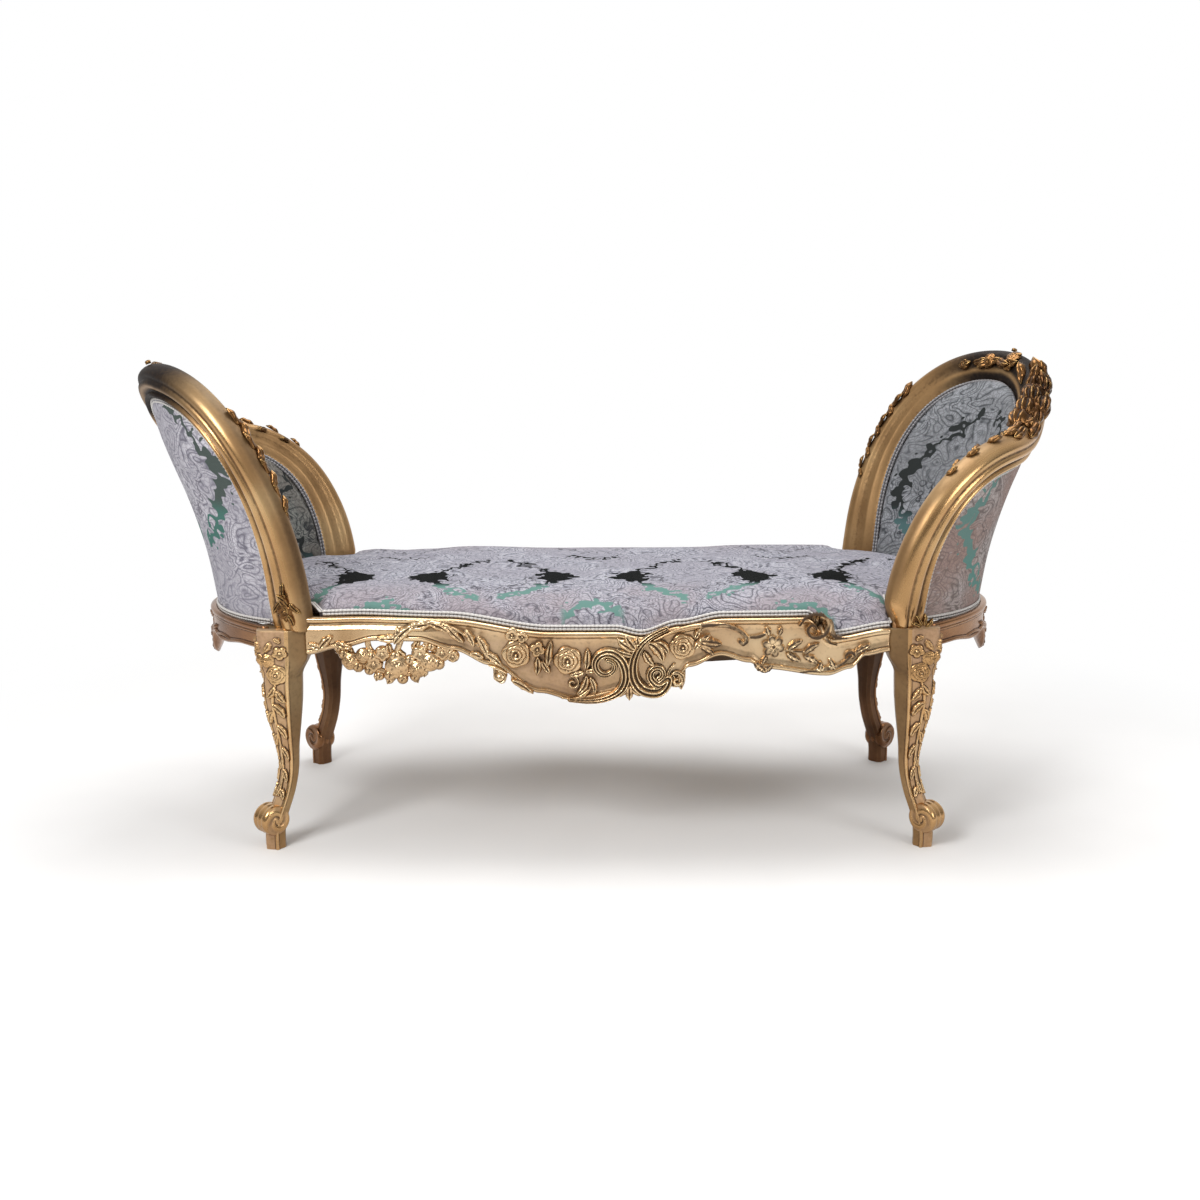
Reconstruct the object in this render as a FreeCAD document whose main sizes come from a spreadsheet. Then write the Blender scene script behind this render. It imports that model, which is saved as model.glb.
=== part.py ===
import FreeCAD, Part
import math
import os
import Sketcher

from FreeCAD import Placement, Rotation, Vector

# A gilded double-ended bench in the Louis XV manner: carved serpentine rails, cabriole legs,
# and at each end a bowed, outward leaning back with one tall side and one low side. The whole
# bench looks the same after half a turn about its upright axis, so the pieces of one half are
# modelled and the other half is the same pieces turned. Millimetres, +Z up, front towards -Y,
# origin on the floor at the middle.

document = FreeCAD.newDocument("GiltBench")
sheet = document.addObject("Spreadsheet::Sheet", "Sizes")

sizes = {
    # legs
    "foot_centre_x": 585, "foot_centre_y": 238, "foot_width": 34, "foot_pad_height": 24,
    "ankle_centre_x": 556, "ankle_centre_y": 222, "ankle_height": 150, "ankle_width": 31,
    "knee_centre_x": 560, "knee_centre_y": 226, "knee_height": 300, "knee_width": 64,
    "leg_top_height": 405, "leg_block_height": 62, "leg_block_inner_x": 508,
    "leg_block_outer_x": 598, "leg_block_face_y": 258, "leg_block_back_y": 200,
    "leg_corner_radius": 34, "volute_radius": 23, "volute_width": 32,
    "volute_centre_height": 49, "volute_reach": 11,
    # long rails
    "rail_thickness": 32, "rail_bow": 33, "rail_face_y": 257, "lip_thickness": 9,
    "rail_ledge_height": 404, "rail_bead": 4, "carving_height": 11, "rose_radius": 14,
    "garland_radius": 5,
    # end rails and the bowed back
    "end_rail_reach": 727, "end_rail_bow": 2.6, "end_rail_thickness": 30,
    "end_rail_top": 408, "end_rail_bottom": 366, "end_rail_drop": 62,
    "back_bow": 2.9, "stile_width": 78, "crest_width": 58, "frame_depth": 46,
    "stile_base_y": 235, "crest_carving_height": 15,
    # upholstery
    "cloth": 2, "hessian": 1, "back_rebate": 8, "back_stuffing": 26, "back_outside": 8,
    "seat_crown_height": 464, "seat_shoulder": 24, "seat_corner_x": 480, "seat_corner_y": 249,
    "seat_front_y": 280, "seat_waist_x": 536, "seat_waist_y": 185, "seat_end_reach": 637,
    "webbing_width": 50, "webbing_thickness": 2, "webbing_pitch": 88, "webbing_count": 11,
    "long_webbing_count": 4, "gimp_width": 11, "gimp_thickness": 3,
    # hidden joinery
    "tacking_height": 34, "tacking_thickness": 15, "bearer_x": 165, "bearer_width": 34,
    "bearer_height": 26, "bearer_sag": 2, "corner_block_length": 56, "corner_block_height": 26,
    "dowel_radius": 5, "dowel_length": 50, "dowel_spacing": 15, "dowel_drop": 31,
    "screw_radius": 2.2, "screw_length": 34, "clearance": 0.3,
}
for row, (alias, value) in enumerate(sizes.items(), start=1):
    sheet.set(f"A{row}", alias)
    sheet.set(f"B{row}", str(value))
    sheet.setAlias(f"B{row}", alias)
document.recompute()


def size(alias):
    return float(sheet.get(alias))


nodes = []


def keep(item, label):
    """The item is one of the bench's own pieces, exported under its label."""
    item.Label = label
    nodes.append(item)
    return item


def formed(name, shape):
    """A piece whose form only curve and loft functions can make."""
    item = document.addObject("Part::Feature", name)
    item.Shape = shape
    return item


def half_turned(source, label):
    """The same piece at the other end of the bench."""
    twin = document.addObject("Part::Compound", label + "_turned")
    twin.Links = [source]
    twin.Placement = Placement(Vector(0, 0, 0), Rotation(Vector(0, 0, 1), 180))
    return keep(twin, label)


def polygon(points):
    return Part.makePolygon(list(points) + [points[0]])


def faceted(rings, level=True):
    """A solid through rings of points, in flat triangles; each end is one face if level."""
    faces = []
    for lower, upper in zip(rings, rings[1:]):
        for i in range(len(lower)):
            j = (i + 1) % len(lower)
            faces.append(Part.Face(polygon([lower[i], lower[j], upper[j]])))
            faces.append(Part.Face(polygon([lower[i], upper[j], upper[i]])))
    for ring in (rings[0], rings[-1]):
        middle = sum(ring, Vector()) * (1 / len(ring))
        if level:
            faces.append(Part.Face(polygon(ring)))
            continue
        for start, end in zip(ring, ring[1:] + ring[:1]):
            faces.append(Part.Face(polygon([middle, start, end])))
    solid = Part.Solid(Part.Shell(faces))
    if solid.Volume < 0:
        solid.reverse()
    return solid


def smooth(points):
    curve = Part.BSplineCurve()
    curve.interpolate(points)
    return curve


def ease(share):
    share = max(0.0, min(1.0, share))
    return share * share * (3 - 2 * share)


def height_at(knots, x):
    """The height of the eased line through the (x, height) knots."""
    for (x0, h0), (x1, h1) in zip(knots, knots[1:]):
        if x <= x1:
            return h0 + (h1 - h0) * ease((x - x0) / (x1 - x0))
    return knots[-1][1]


# Dowels and screws, bound to the sizes of what they join. Each is an eight sided peg placed
# by its middle. The dowels' holes are drilled by the same pegs, and the screws cut their own
# way into the wood.


def peg(name, middle, direction, radius="Sizes.dowel_radius", length="Sizes.dowel_length"):
    """A fluted peg about the middle, whose coordinates are given as expressions."""
    item = document.addObject("Part::Prism", name)
    item.Polygon = 8
    item.Placement = Placement(Vector(0, 0, 0), Rotation(Vector(0, 0, 1), direction))
    item.setExpression("Circumradius", radius)
    item.setExpression("Height", length)
    for axis, place, share in zip("xyz", middle, direction):
        item.setExpression("Placement.Base." + axis, f"{place} - ({share:.4f}) * ({length}) / 2")
    return item


def group(label, items):
    whole = document.addObject("Part::Compound", label + "_group")
    whole.Links = items
    return keep(whole, label)


rail_middle = "(Sizes.rail_face_y - Sizes.rail_thickness + Sizes.dowel_spacing / 2)"
rail_pegs, end_pegs, stile_pegs = [], [], []
for side_x in (-1, 1):
    for side_y in (-1, 1):
        corner = f"{'Right' if side_x > 0 else 'Left'}{'Back' if side_y > 0 else 'Front'}"
        for step in (0, 1):
            across = f"{side_y} * ({rail_middle} + {step} * Sizes.dowel_spacing)"
            rail_pegs.append(peg(f"RailPeg{corner}{step}",
                                 (f"{side_x} * Sizes.leg_block_inner_x", across,
                                  "Sizes.leg_top_height - Sizes.dowel_drop"),
                                 Vector(1, 0, 0)))
        slant = Vector(side_x * 0.74, -side_y * 0.67, 0).normalize()
        end_pegs.append(peg(f"EndPeg{corner}",
                            (f"{side_x} * Sizes.leg_block_outer_x",
                             f"{side_y} * (Sizes.leg_block_back_y + 9)",
                             "Sizes.leg_top_height - Sizes.dowel_drop"), slant))
        for step in (-1, 1):
            away = f"{step} * Sizes.dowel_spacing"
            stile_pegs.append(peg(f"StilePeg{corner}{step + 1}",
                                  (f"{side_x} * (531 + 0.8 * {away})",
                                   f"{side_y} * (Sizes.stile_base_y - 0.6 * {away})",
                                   "Sizes.leg_top_height"), Vector(0, 0, 1)))
document.recompute()
group("rail_dowels", rail_pegs + end_pegs)
group("stile_dowels", stile_pegs)


def drilled(shape, pegs):
    """The shape with a hole for each peg that reaches into it."""
    return shape.cut([item.Shape for item in pegs if item.Shape.BoundBox.intersect(shape.BoundBox)])


# Long rail: bowed in plan, shaped along both edges. Heights are along the front rail, from
# the left leg to the right leg, and the back rail is the same piece turned.

rail_top_line = [(-508, 430), (-400, 434), (-262, 432), (-80, 409), (30, 409), (75, 400),
                 (140, 418), (215, 431), (360, 430), (405, 393), (508, 406)]
rail_bottom_line = [(-508, 363), (-450, 376), (-385, 391), (-310, 391), (-250, 376),
                    (-185, 350), (-100, 301), (-40, 287), (70, 306), (130, 316),
                    (158, 346), (212, 365), (262, 352), (285, 340), (400, 325), (440, 336),
                    (465, 358), (508, 364)]


def rail_face(x):
    """How far the long rail's show face stands from the middle of the bench."""
    share = min(1.0, abs(x) / size("leg_block_inner_x"))
    return size("rail_face_y") + size("rail_bow") * (1 - share * share)


def rail_section(x):
    top, bottom, face = height_at(rail_top_line, x), height_at(rail_bottom_line, x), rail_face(x)
    back = face - size("rail_thickness")
    lip = face - size("lip_thickness")
    bead = size("rail_bead")
    ledge = min(size("rail_ledge_height"), top - 3 * bead)
    outline = [(face - bead, bottom), (face, bottom + bead), (face, top - bead),
               (face - bead, top), (lip, top), (lip, ledge), (back, ledge), (back, bottom)]
    return [Vector(x, -y, z) for y, z in outline]


def rail_stations(longest=60):
    reach = size("leg_block_inner_x")
    knots = sorted({x for x, _ in rail_top_line + rail_bottom_line if abs(x) < reach - 8})
    knots = [-reach] + knots + [reach]
    stations = []
    for start, end in zip(knots, knots[1:]):
        if end - start > 6 or end == reach:
            count = max(1, math.ceil((end - start) / longest))
            stations += [start + (end - start) * i / count for i in range(count)]
    return stations + [reach]


rail_blank = drilled(faceted([rail_section(x) for x in rail_stations()]), rail_pegs)


# Carving on the long rail: C-scrolls, sprays and roses that stand out from the face, each a
# tapered ridge along a curve given as (x, height) points of the rail's elevation.


def ridge(points, width, rise, steps=5, taper=(0.35, 1.0, 0.45)):
    """A rounded ridge along the points, as wide as the taper says at start, middle and end."""
    line = smooth([Vector(x, 0, z) for x, z in points])
    first, last = line.FirstParameter, line.LastParameter
    outline = [(-1, 0), (-0.5, 0.9), (0.5, 0.9), (1, 0)]
    sections = []
    for i in range(steps + 1):
        share = i / steps
        at = line.value(first + (last - first) * share)
        along = line.tangent(first + (last - first) * share)[0]
        across = Vector(along.z, 0, -along.x)
        start, middle, end = taper
        swell = start + (middle - start) * ease(2 * share) + (end - middle) * ease(2 * share - 1)
        ring = []
        for side, out in outline:
            height = size("clearance") + out * rise * (0.5 + 0.5 * swell)
            place = at + across * (side * swell * width / 2)
            ring.append(Vector(place.x, -(rail_face(place.x) + height), place.z))
        sections.append(ring)
    return faceted(sections, False)


def scroll_points(centre_x, centre_z, first_radius, last_radius, first_angle, last_angle, count=9):
    """Points of a scroll that winds about its eye, angles in degrees from the +X direction."""
    points = []
    for i in range(count):
        share = i / (count - 1)
        radius = first_radius * (last_radius / first_radius) ** share
        angle = math.radians(first_angle + (last_angle - first_angle) * share)
        points.append((centre_x + radius * math.cos(angle), centre_z + radius * math.sin(angle)))
    return points


def rose(x, z, radius, face=None):
    """An open rose: a round boss in a wider, flatter ring of petals."""
    face = rail_face(x) + size("clearance") if face is None else face
    rings = []
    for share, out in [(1.0, 0), (0.85, 0.45), (0.5, 0.5), (0.25, 0.95)]:
        turns = [math.pi * k / 3 for k in range(6)]
        reach = [radius * share * (1 - 0.08 * (k % 2)) for k in range(6)]
        rings.append([Vector(x + r * math.cos(t), -(face + radius * out), z + r * math.sin(t))
                      for r, t in zip(reach, turns)])
    return faceted(rings, False)


def rail_carving():
    rise, bloom = size("carving_height"), size("rose_radius")
    left_scroll = scroll_points(15, 346, 9, 42, 130, -75) + [(45, 300)]
    right_scroll = [(98, 388), (75, 372)] + scroll_points(99, 332, 34, 7, 150, 390, 8)
    pieces = [
        ridge(left_scroll, 18, rise * 1.3, steps=10, taper=(0.5, 1.0, 0.6)),
        ridge(right_scroll, 18, rise * 1.2, steps=10, taper=(0.5, 1.0, 0.5)),
        ridge([(24, 300), (50, 292), (76, 301)], 22, rise, taper=(0.3, 1.0, 0.3)),
        ridge([(48, 408), (46, 385), (44, 358)], 26, rise * 1.2, taper=(0.9, 1.0, 0.3)),
        ridge([(85, 372), (150, 404), (215, 412), (262, 408)], 11, rise * 0.8, steps=8),
        ridge([(-305, 404), (-275, 405), (-245, 398)], 20, rise * 0.9),
        ridge([(-240, 392), (-205, 382), (-175, 365)], 16, rise * 0.8),
        ridge([(-190, 402), (-160, 404), (-128, 392)], 14, rise * 0.7),
        ridge([(196, 398), (225, 384), (252, 372)], 16, rise * 0.9),
        ridge([(268, 376), (290, 398), (330, 404)], 15, rise * 0.8),
        ridge(scroll_points(372, 402, 6, 26, 200, -20), 12, rise, steps=8),
        ridge([(330, 350), (370, 340), (415, 338)], 20, rise * 0.8),
    ]
    roses = [(-143, 377, 0.85), (-62, 363, 1.0), (146, 378, 0.95), (302, 388, 0.7)]
    pieces += [rose(x, z, bloom * share) for x, z, share in roses]
    return pieces[0].fuse(pieces[1:])


front_carving = keep(formed("FrontCarving", rail_carving()), "front_carving")
half_turned(front_carving, "back_carving")


# Pierced garland: a festoon of flowers that hangs below the plain stretch of the rail.


def garland():
    middle_x = -348
    festoon = [(-452, 369), (-410, 345), (-350, 322), (-300, 333), (-247, 369)]
    radius = size("garland_radius")

    def depth(x):
        return rail_face(x) - size("lip_thickness") / 2

    def cord(points, steps, thick):
        line = smooth([Vector(x, -depth(x), z) for x, z in points])
        first, last = line.FirstParameter, line.LastParameter
        rings = []
        for i in range(steps + 1):
            at = line.value(first + (last - first) * i / steps)
            along = line.tangent(first + (last - first) * i / steps)[0]
            side = along.cross(Vector(0, 1, 0)).normalize()
            ring = [at + side * (thick * math.cos(turn)) + Vector(0, thick * math.sin(turn), 0)
                    for turn in (math.pi * k / 2 + math.pi / 4 for k in range(4))]
            rings.append(ring)
        return faceted(rings, False)

    pieces = [cord(festoon, 9, radius),
              cord([(middle_x + 4, 398), (middle_x, 360), (middle_x, 319)], 4, radius * 0.8),
              cord([(-300, 396), (-292, 362), (-300, 335)], 4, radius * 0.7),
              cord([(-400, 396), (-408, 370), (-402, 342)], 4, radius * 0.7),
              cord([(-452, 384), (-455, 374), (-450, 362)], 3, radius * 0.8),
              cord([(-247, 384), (-244, 374), (-249, 362)], 3, radius * 0.8)]
    for x, z, share in [(-425, 358, 1.5), (-372, 335, 2.1), (-330, 334, 1.9), (-285, 348, 1.7)]:
        pieces.append(rose(x, z, radius * share, depth(x) - radius))
    return pieces[0].fuse(pieces[1:])


front_garland = keep(formed("FrontGarland", garland().cut(rail_blank)), "front_garland")
half_turned(front_garland, "back_garland")


# End rail: a bowed rail from leg to leg with a moulded outer face and a carved drop at its
# middle. The leg blocks end in the same curve.


def end_rail_face(y):
    """How far the end rail's show face stands from the middle of the bench."""
    return size("end_rail_reach") - size("end_rail_bow") * 0.001 * y * y


def end_rail_section(y):
    face, top = end_rail_face(y), size("end_rail_top")
    back, bead = face - size("end_rail_thickness"), size("rail_bead")
    drop = size("end_rail_drop") * ease(1 - abs(y) / 95) + 9 * ease(1 - abs(abs(y) - 130) / 60)
    bottom = size("end_rail_bottom") - drop
    lip, ledge = face - size("lip_thickness"), size("rail_ledge_height")
    outline = [(face, bottom + bead), (face + bead, bottom + 2 * bead), (face, bottom + 3 * bead),
               (face, top - 3 * bead), (face + bead, top - 1.5 * bead), (face, top),
               (lip, top), (lip, ledge), (back, ledge), (back, size("end_rail_bottom")),
               (face - 3 * bead, bottom)]
    return [Vector(x, y, z) for x, z in outline]


def end_rail_shape(count=12):
    reach = (size("leg_block_back_y") + size("leg_block_face_y")) / 2
    return faceted([end_rail_section(reach * (2 * i / count - 1)) for i in range(count + 1)])


# Cabriole leg: a fair curve from knee to ankle to scrolled foot, set at 45 degrees, under a
# block that takes the rails. The front right leg is modelled.

outward = Vector(1, -1, 0).normalize()
tangent = Vector(1, 1, 0).normalize()


def leg_section(height, centre_x, centre_y, width):
    """A rounded outline, broad and softly curved on its carved outer side."""
    half = width / 2
    centre = Vector(centre_x, -centre_y, height)
    shape = [(-0.98, -0.6), (-1.0, 0.35), (-0.7, 0.88), (0, 1.06), (0.7, 0.88),
             (1.0, 0.35), (0.98, -0.6), (0, -1.0)]
    return [centre + tangent * (half * across) + outward * (half * out) for across, out in shape]


def leg_shape():
    foot, ankle, knee = size("foot_width"), size("ankle_width"), size("knee_width")
    foot_x, foot_y = size("foot_centre_x"), size("foot_centre_y")
    ankle_x, ankle_y = size("ankle_centre_x"), size("ankle_centre_y")
    knee_x, knee_y = size("knee_centre_x"), size("knee_centre_y")
    low, high = size("ankle_height"), size("knee_height")
    block_base = size("leg_top_height") - size("leg_block_height")

    def between(share, start, end):
        return start + (end - start) * share

    stations = [
        (0, foot_x, foot_y, foot),
        (size("foot_pad_height"), foot_x, foot_y, foot),
        (low * 0.42, between(0.2, foot_x, ankle_x), between(0.2, foot_y, ankle_y), foot),
        (low * 0.6, between(0.55, foot_x, ankle_x), between(0.55, foot_y, ankle_y), ankle + 2),
        (low * 0.8, between(0.88, foot_x, ankle_x), between(0.88, foot_y, ankle_y), ankle),
        (low, ankle_x, ankle_y, ankle),
    ]
    for share in (0.25, 0.5, 0.75, 1.0):
        stations.append((between(share, low, high), between(ease(share), ankle_x, knee_x),
                         between(ease(share), ankle_y, knee_y), between(ease(share), ankle, knee)))
    stations.append((block_base + 8, knee_x, knee_y, knee))
    return faceted([leg_section(*station) for station in stations])


def leg_block_shape():
    inner, outer = size("leg_block_inner_x"), size("leg_block_outer_x")
    face, back = size("leg_block_face_y"), size("leg_block_back_y")
    base, radius = size("leg_top_height") - size("leg_block_height"), size("leg_corner_radius")
    centre = Vector(outer - radius, radius - face, base)
    corner = Part.Arc(centre - Vector(0, radius, 0), centre + outward * radius,
                      centre + Vector(radius, 0, 0)).toShape()
    corners = [centre + Vector(radius, 0, 0), Vector(outer, -back, base), Vector(inner, -back, base),
               Vector(inner, -face, base), centre - Vector(0, radius, 0)]
    sides = [Part.makeLine(start, end) for start, end in zip(corners, corners[1:])]
    return Part.Face(Part.Wire([corner] + sides)).extrude(Vector(0, 0, size("leg_block_height")))


def foot_volute_shape():
    """The scroll at the foot: a rolled leaf with a raised eye on both sides."""
    centre = Vector(size("foot_centre_x"), -size("foot_centre_y"), size("volute_centre_height"))
    centre = centre + outward * size("volute_reach")

    def roll(radius, width, sides):
        middle = centre - tangent * (width / 2)
        turns = [2 * math.pi * k / sides for k in range(sides)]
        ring = [middle + (outward * math.cos(turn) + Vector(0, 0, math.sin(turn))) * radius
                for turn in turns]
        return Part.Face(polygon(ring)).extrude(tangent * width)

    radius, width = size("volute_radius"), size("volute_width")
    return roll(radius, width, 12).fuse(roll(radius * 0.4, width + 8, 8))


def joined(name, pieces):
    leg = document.addObject("Part::MultiFuse", name)
    leg.Shapes = pieces
    leg.Refine = False
    return leg


def mirrored(source):
    twin = document.addObject("Part::Mirroring", source.Name + "Left")
    twin.Source = source
    twin.Normal = Vector(1, 0, 0)
    return twin


leg_pieces = [formed("LegCurve", leg_shape()),
              formed("LegBlock", drilled(leg_block_shape(), rail_pegs + end_pegs + stile_pegs)),
              formed("FootVolute", foot_volute_shape())]
right_leg = keep(joined("RightLeg", leg_pieces), "leg_front_right")
left_leg = keep(joined("LeftLeg", [mirrored(piece) for piece in leg_pieces]), "leg_front_left")
half_turned(right_leg, "leg_back_left")
half_turned(left_leg, "leg_back_right")

block = leg_block_shape()
far_block = block.mirror(Vector(0, 0, 0), Vector(0, 1, 0))
end_rail_blank = end_rail_shape().cut([block, far_block])
right_end_rail = keep(formed("EndRail", drilled(end_rail_blank, end_pegs)), "right_end_rail")
half_turned(right_end_rail, "left_end_rail")


# Bowed back of the right end. Its surface leans outwards more and more with height, and bows
# from the front post round to the back post.


def back_surface(y, z):
    """The middle surface of the bowed back: how far out it stands at depth y and height z."""
    return lean_line.value(lean_parameter(z)).x - size("back_bow") * 0.001 * y * y


def lean_parameter(z):
    """Where along the lean the height z is met; the lean's points are evenly spaced."""
    low, high = lean_points[0][1], lean_points[-1][1]
    share = (max(low, min(high, z)) - low) / (high - low)
    return lean_line.FirstParameter + share * (lean_line.LastParameter - lean_line.FirstParameter)


def back_normal(y, z):
    slope = (back_surface(y, z + 2) - back_surface(y, z - 2)) / 4
    return Vector(1, 2 * size("back_bow") * 0.001 * y, -slope).normalize()


# How the middle of the back leans out with height: (reach, height) points, evenly spaced.
lean_points = [(691, 405), (707, 490), (735, 575), (768, 660), (798, 745), (817, 830)]
lean_line = smooth([Vector(x, 0, z) for x, z in lean_points])

# The show-wood frame of that end, from its low front post over the crest to its tall back
# post, as (depth, height) points of the frame's middle line.
stile_base = (size("stile_base_y"), size("leg_top_height"))
arch_points = [(-stile_base[0], stile_base[1]), (-238, 480), (-238, 570), (-226, 634),
               (-192, 682), (-135, 700), (-72, 714), (-20, 752), (30, 796), (85, 824),
               (140, 829), (190, 812), (228, 768), (247, 708), (252, 630), (246, 545),
               (238, 470), stile_base]
arch_line = smooth([Vector(0, y, z) for y, z in arch_points])
arch_length = arch_line.length()


def arch_point(share):
    at = arch_line.value(arch_line.parameterAtDistance(arch_length * share, arch_line.FirstParameter))
    return Vector(back_surface(at.y, at.z), at.y, at.z)


# Moulded section of the frame as (across, out): across runs from the fabric edge at -1 to the
# free edge at +1 in half widths, out in halves of the depth towards the outside.
moulding = [(-1.0, -0.62), (-1.0, 0.5), (-0.82, 0.84), (-0.58, 0.5), (-0.36, 0.72),
            (-0.1, 1.02), (0.12, 1.0), (0.24, 0.76), (0.62, 0.74), (0.9, 0.45), (1.0, 0.0),
            (0.9, -0.5), (0.62, -0.85), (-0.3, -0.9)]


def arch_frame(share):
    """The frame's middle, its direction across towards the free edge, and outwards."""
    step = 0.004
    along = (arch_point(min(1, share + step)) - arch_point(max(0, share - step))).normalize()
    middle = arch_point(share)
    if share in (0, 1):
        along = Vector(0, 0, 1 - 2 * share)
    out = back_normal(middle.y, middle.z)
    out = (out - along * out.dot(along)).normalize()
    return middle, out.cross(along).normalize(), out


def frame_width(share):
    widening = ease(1 - min(share, 1 - share) / 0.3)
    return size("crest_width") + (size("stile_width") - size("crest_width")) * widening


def frame_section(share):
    middle, across, out = arch_frame(share)
    half, depth = frame_width(share) / 2, size("frame_depth") / 2
    return [middle + across * (half * a) + out * (depth * o) for a, o in moulding]


def frame_piece(start, end, count):
    return faceted([frame_section(start + (end - start) * i / count) for i in range(count + 1)])


low_joint, high_joint = 0.36, 0.64
low_stile = keep(formed("LowStile", drilled(frame_piece(0, low_joint, 8), stile_pegs)),
                 "right_low_stile")
crest_rail = keep(formed("CrestRail", frame_piece(low_joint, high_joint, 8)), "right_crest_rail")
tall_stile = keep(formed("TallStile", drilled(frame_piece(high_joint, 1, 8), stile_pegs)),
                  "right_tall_stile")
frame_stations = ([low_joint * i / 8 for i in range(8)] + [low_joint + 0.035 * i for i in range(8)]
                  + [high_joint + (1 - high_joint) * i / 8 for i in range(9)])
half_turned(low_stile, "left_low_stile")

# The ends of the long rail are cut to fit the posts that overhang them.
turned_tall_stile = tall_stile.Shape.copy()
turned_tall_stile.rotate(Vector(0, 0, 0), Vector(0, 0, 1), 180)
front_rail = keep(formed("FrontRail", rail_blank.cut([low_stile.Shape, turned_tall_stile])),
                  "front_rail")
half_turned(front_rail, "back_rail")

half_turned(crest_rail, "left_crest_rail")
half_turned(tall_stile, "left_tall_stile")


# Crest carving: leaves and roses that climb the step between the low and the tall side.


def crest_leaf(start, end, place, width, rise, steps=5):
    """A pointed leaf along the frame, its middle at the given place across the frame."""
    rings = []
    for i in range(steps + 1):
        share = i / steps
        middle, across, out = arch_frame(start + (end - start) * share)
        swell = 0.18 + 0.82 * math.sin(math.pi * share ** 0.8)
        base = middle + across * (size("crest_width") / 2 * place) + out * (size("frame_depth") / 2 * 0.7)
        outline = [(-1, 0), (-0.5, 0.9), (0.5, 0.9), (1, 0)]
        rings.append([base + across * (side * swell * width / 2) + out * (up * swell * rise)
                      for side, up in outline])
    return faceted(rings, False)


def crest_rose(share, place, radius):
    middle, across, out = arch_frame(share)
    base = middle + across * (size("crest_width") / 2 * place) + out * (size("frame_depth") / 2 * 0.9)
    along = across.cross(out)
    rings = []
    for reach, up in [(1.0, 0), (0.85, 0.45), (0.5, 0.5), (0.25, 1.0)]:
        rings.append([base + out * (radius * up) + (across * math.cos(turn) + along * math.sin(turn))
                      * (radius * reach * (1 - 0.08 * (k % 2)))
                      for k, turn in enumerate(math.pi * k / 3 for k in range(6))])
    return faceted(rings, False)


def crest_carving():
    rise = size("crest_carving_height")
    return [crest_leaf(0.37, 0.45, 0.75, 30, rise), crest_leaf(0.41, 0.5, -0.1, 34, rise * 1.2),
            crest_leaf(0.47, 0.545, 0.8, 34, rise * 1.3), crest_leaf(0.53, 0.6, 0.1, 30, rise),
            crest_rose(0.445, 0.35, 15), crest_rose(0.515, 0.55, 17)]


carving = crest_carving()
frame_shapes = [crest_rail.Shape, low_stile.Shape, tall_stile.Shape]
carved = carving[0].fuse(carving[1:]).cut(frame_shapes)
right_crest_carving = keep(formed("CrestCarving", carved), "right_crest_carving")
half_turned(right_crest_carving, "left_crest_carving")


# Upholstery of the bowed back. Everything is bounded by the frame's fabric edge and lies
# between two surfaces that follow the back's middle surface.


def panel_outline(share):
    """The edge of the upholstered panel, as a share of the frame's half width from its middle."""
    count, points = 22, []
    for i in range(count + 1):
        middle, across, _ = arch_frame(i / count)
        edge = middle - across * (frame_width(i / count) / 2 * share)
        points.append(Vector(0, edge.y, edge.z))
    return points


def panel_prism(share, bottom):
    """The panel's outline, cut level at the bottom, along the whole depth of the back."""
    points = [point for point in panel_outline(share) if point.z > bottom + 10]
    points = [Vector(0, points[0].y, bottom)] + points + [Vector(0, points[-1].y, bottom)]
    return Part.Face(polygon(points)).extrude(Vector(1000, 0, 0))


def arch_height(y):
    """The height of the frame's middle line above depth y."""
    for (y0, z0), (y1, z1) in zip(arch_points[4:], arch_points[5:]):
        if y0 <= y <= y1:
            return z0 + (z1 - z0) * (y - y0) / (y1 - y0)
    return arch_points[4][1]


def crown(y, z):
    """1 over the open panel, falling to 0 towards the frame."""
    side = ease((size("leg_block_face_y") - 32 - abs(y)) / 90)
    top = ease((arch_height(y) - 28 - z) / 80)
    return side * top


levels = [390, 480, 570, 650, 730, 800, 860]
depths = [-265, -205, -140, -70, 0, 70, 140, 205, 265]


def slab_point(offset, y, z):
    """A point at the offset, as a function of (y, z), from the middle surface."""
    return Vector(back_surface(y, z) + offset(y, z) / back_normal(y, z).x, y, z)


def slab_reach(offset, y, z):
    """How far out the flat triangles through the grid of slab points stand at (y, z)."""
    i = max(k for k, level in enumerate(levels[:-1]) if k == 0 or level <= z)
    j = max(k for k, depth in enumerate(depths[:-1]) if k == 0 or depth <= y)
    up = (z - levels[i]) / (levels[i + 1] - levels[i])
    over = (y - depths[j]) / (depths[j + 1] - depths[j])
    near, far = [slab_point(offset, depths[j + k], levels[i + k]).x for k in (0, 1)]
    if over > up:
        corner = slab_point(offset, depths[j + 1], levels[i]).x
        return near + (corner - near) * over + (far - corner) * up
    corner = slab_point(offset, depths[j], levels[i + 1]).x
    return near + (corner - near) * up + (far - corner) * over


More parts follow.
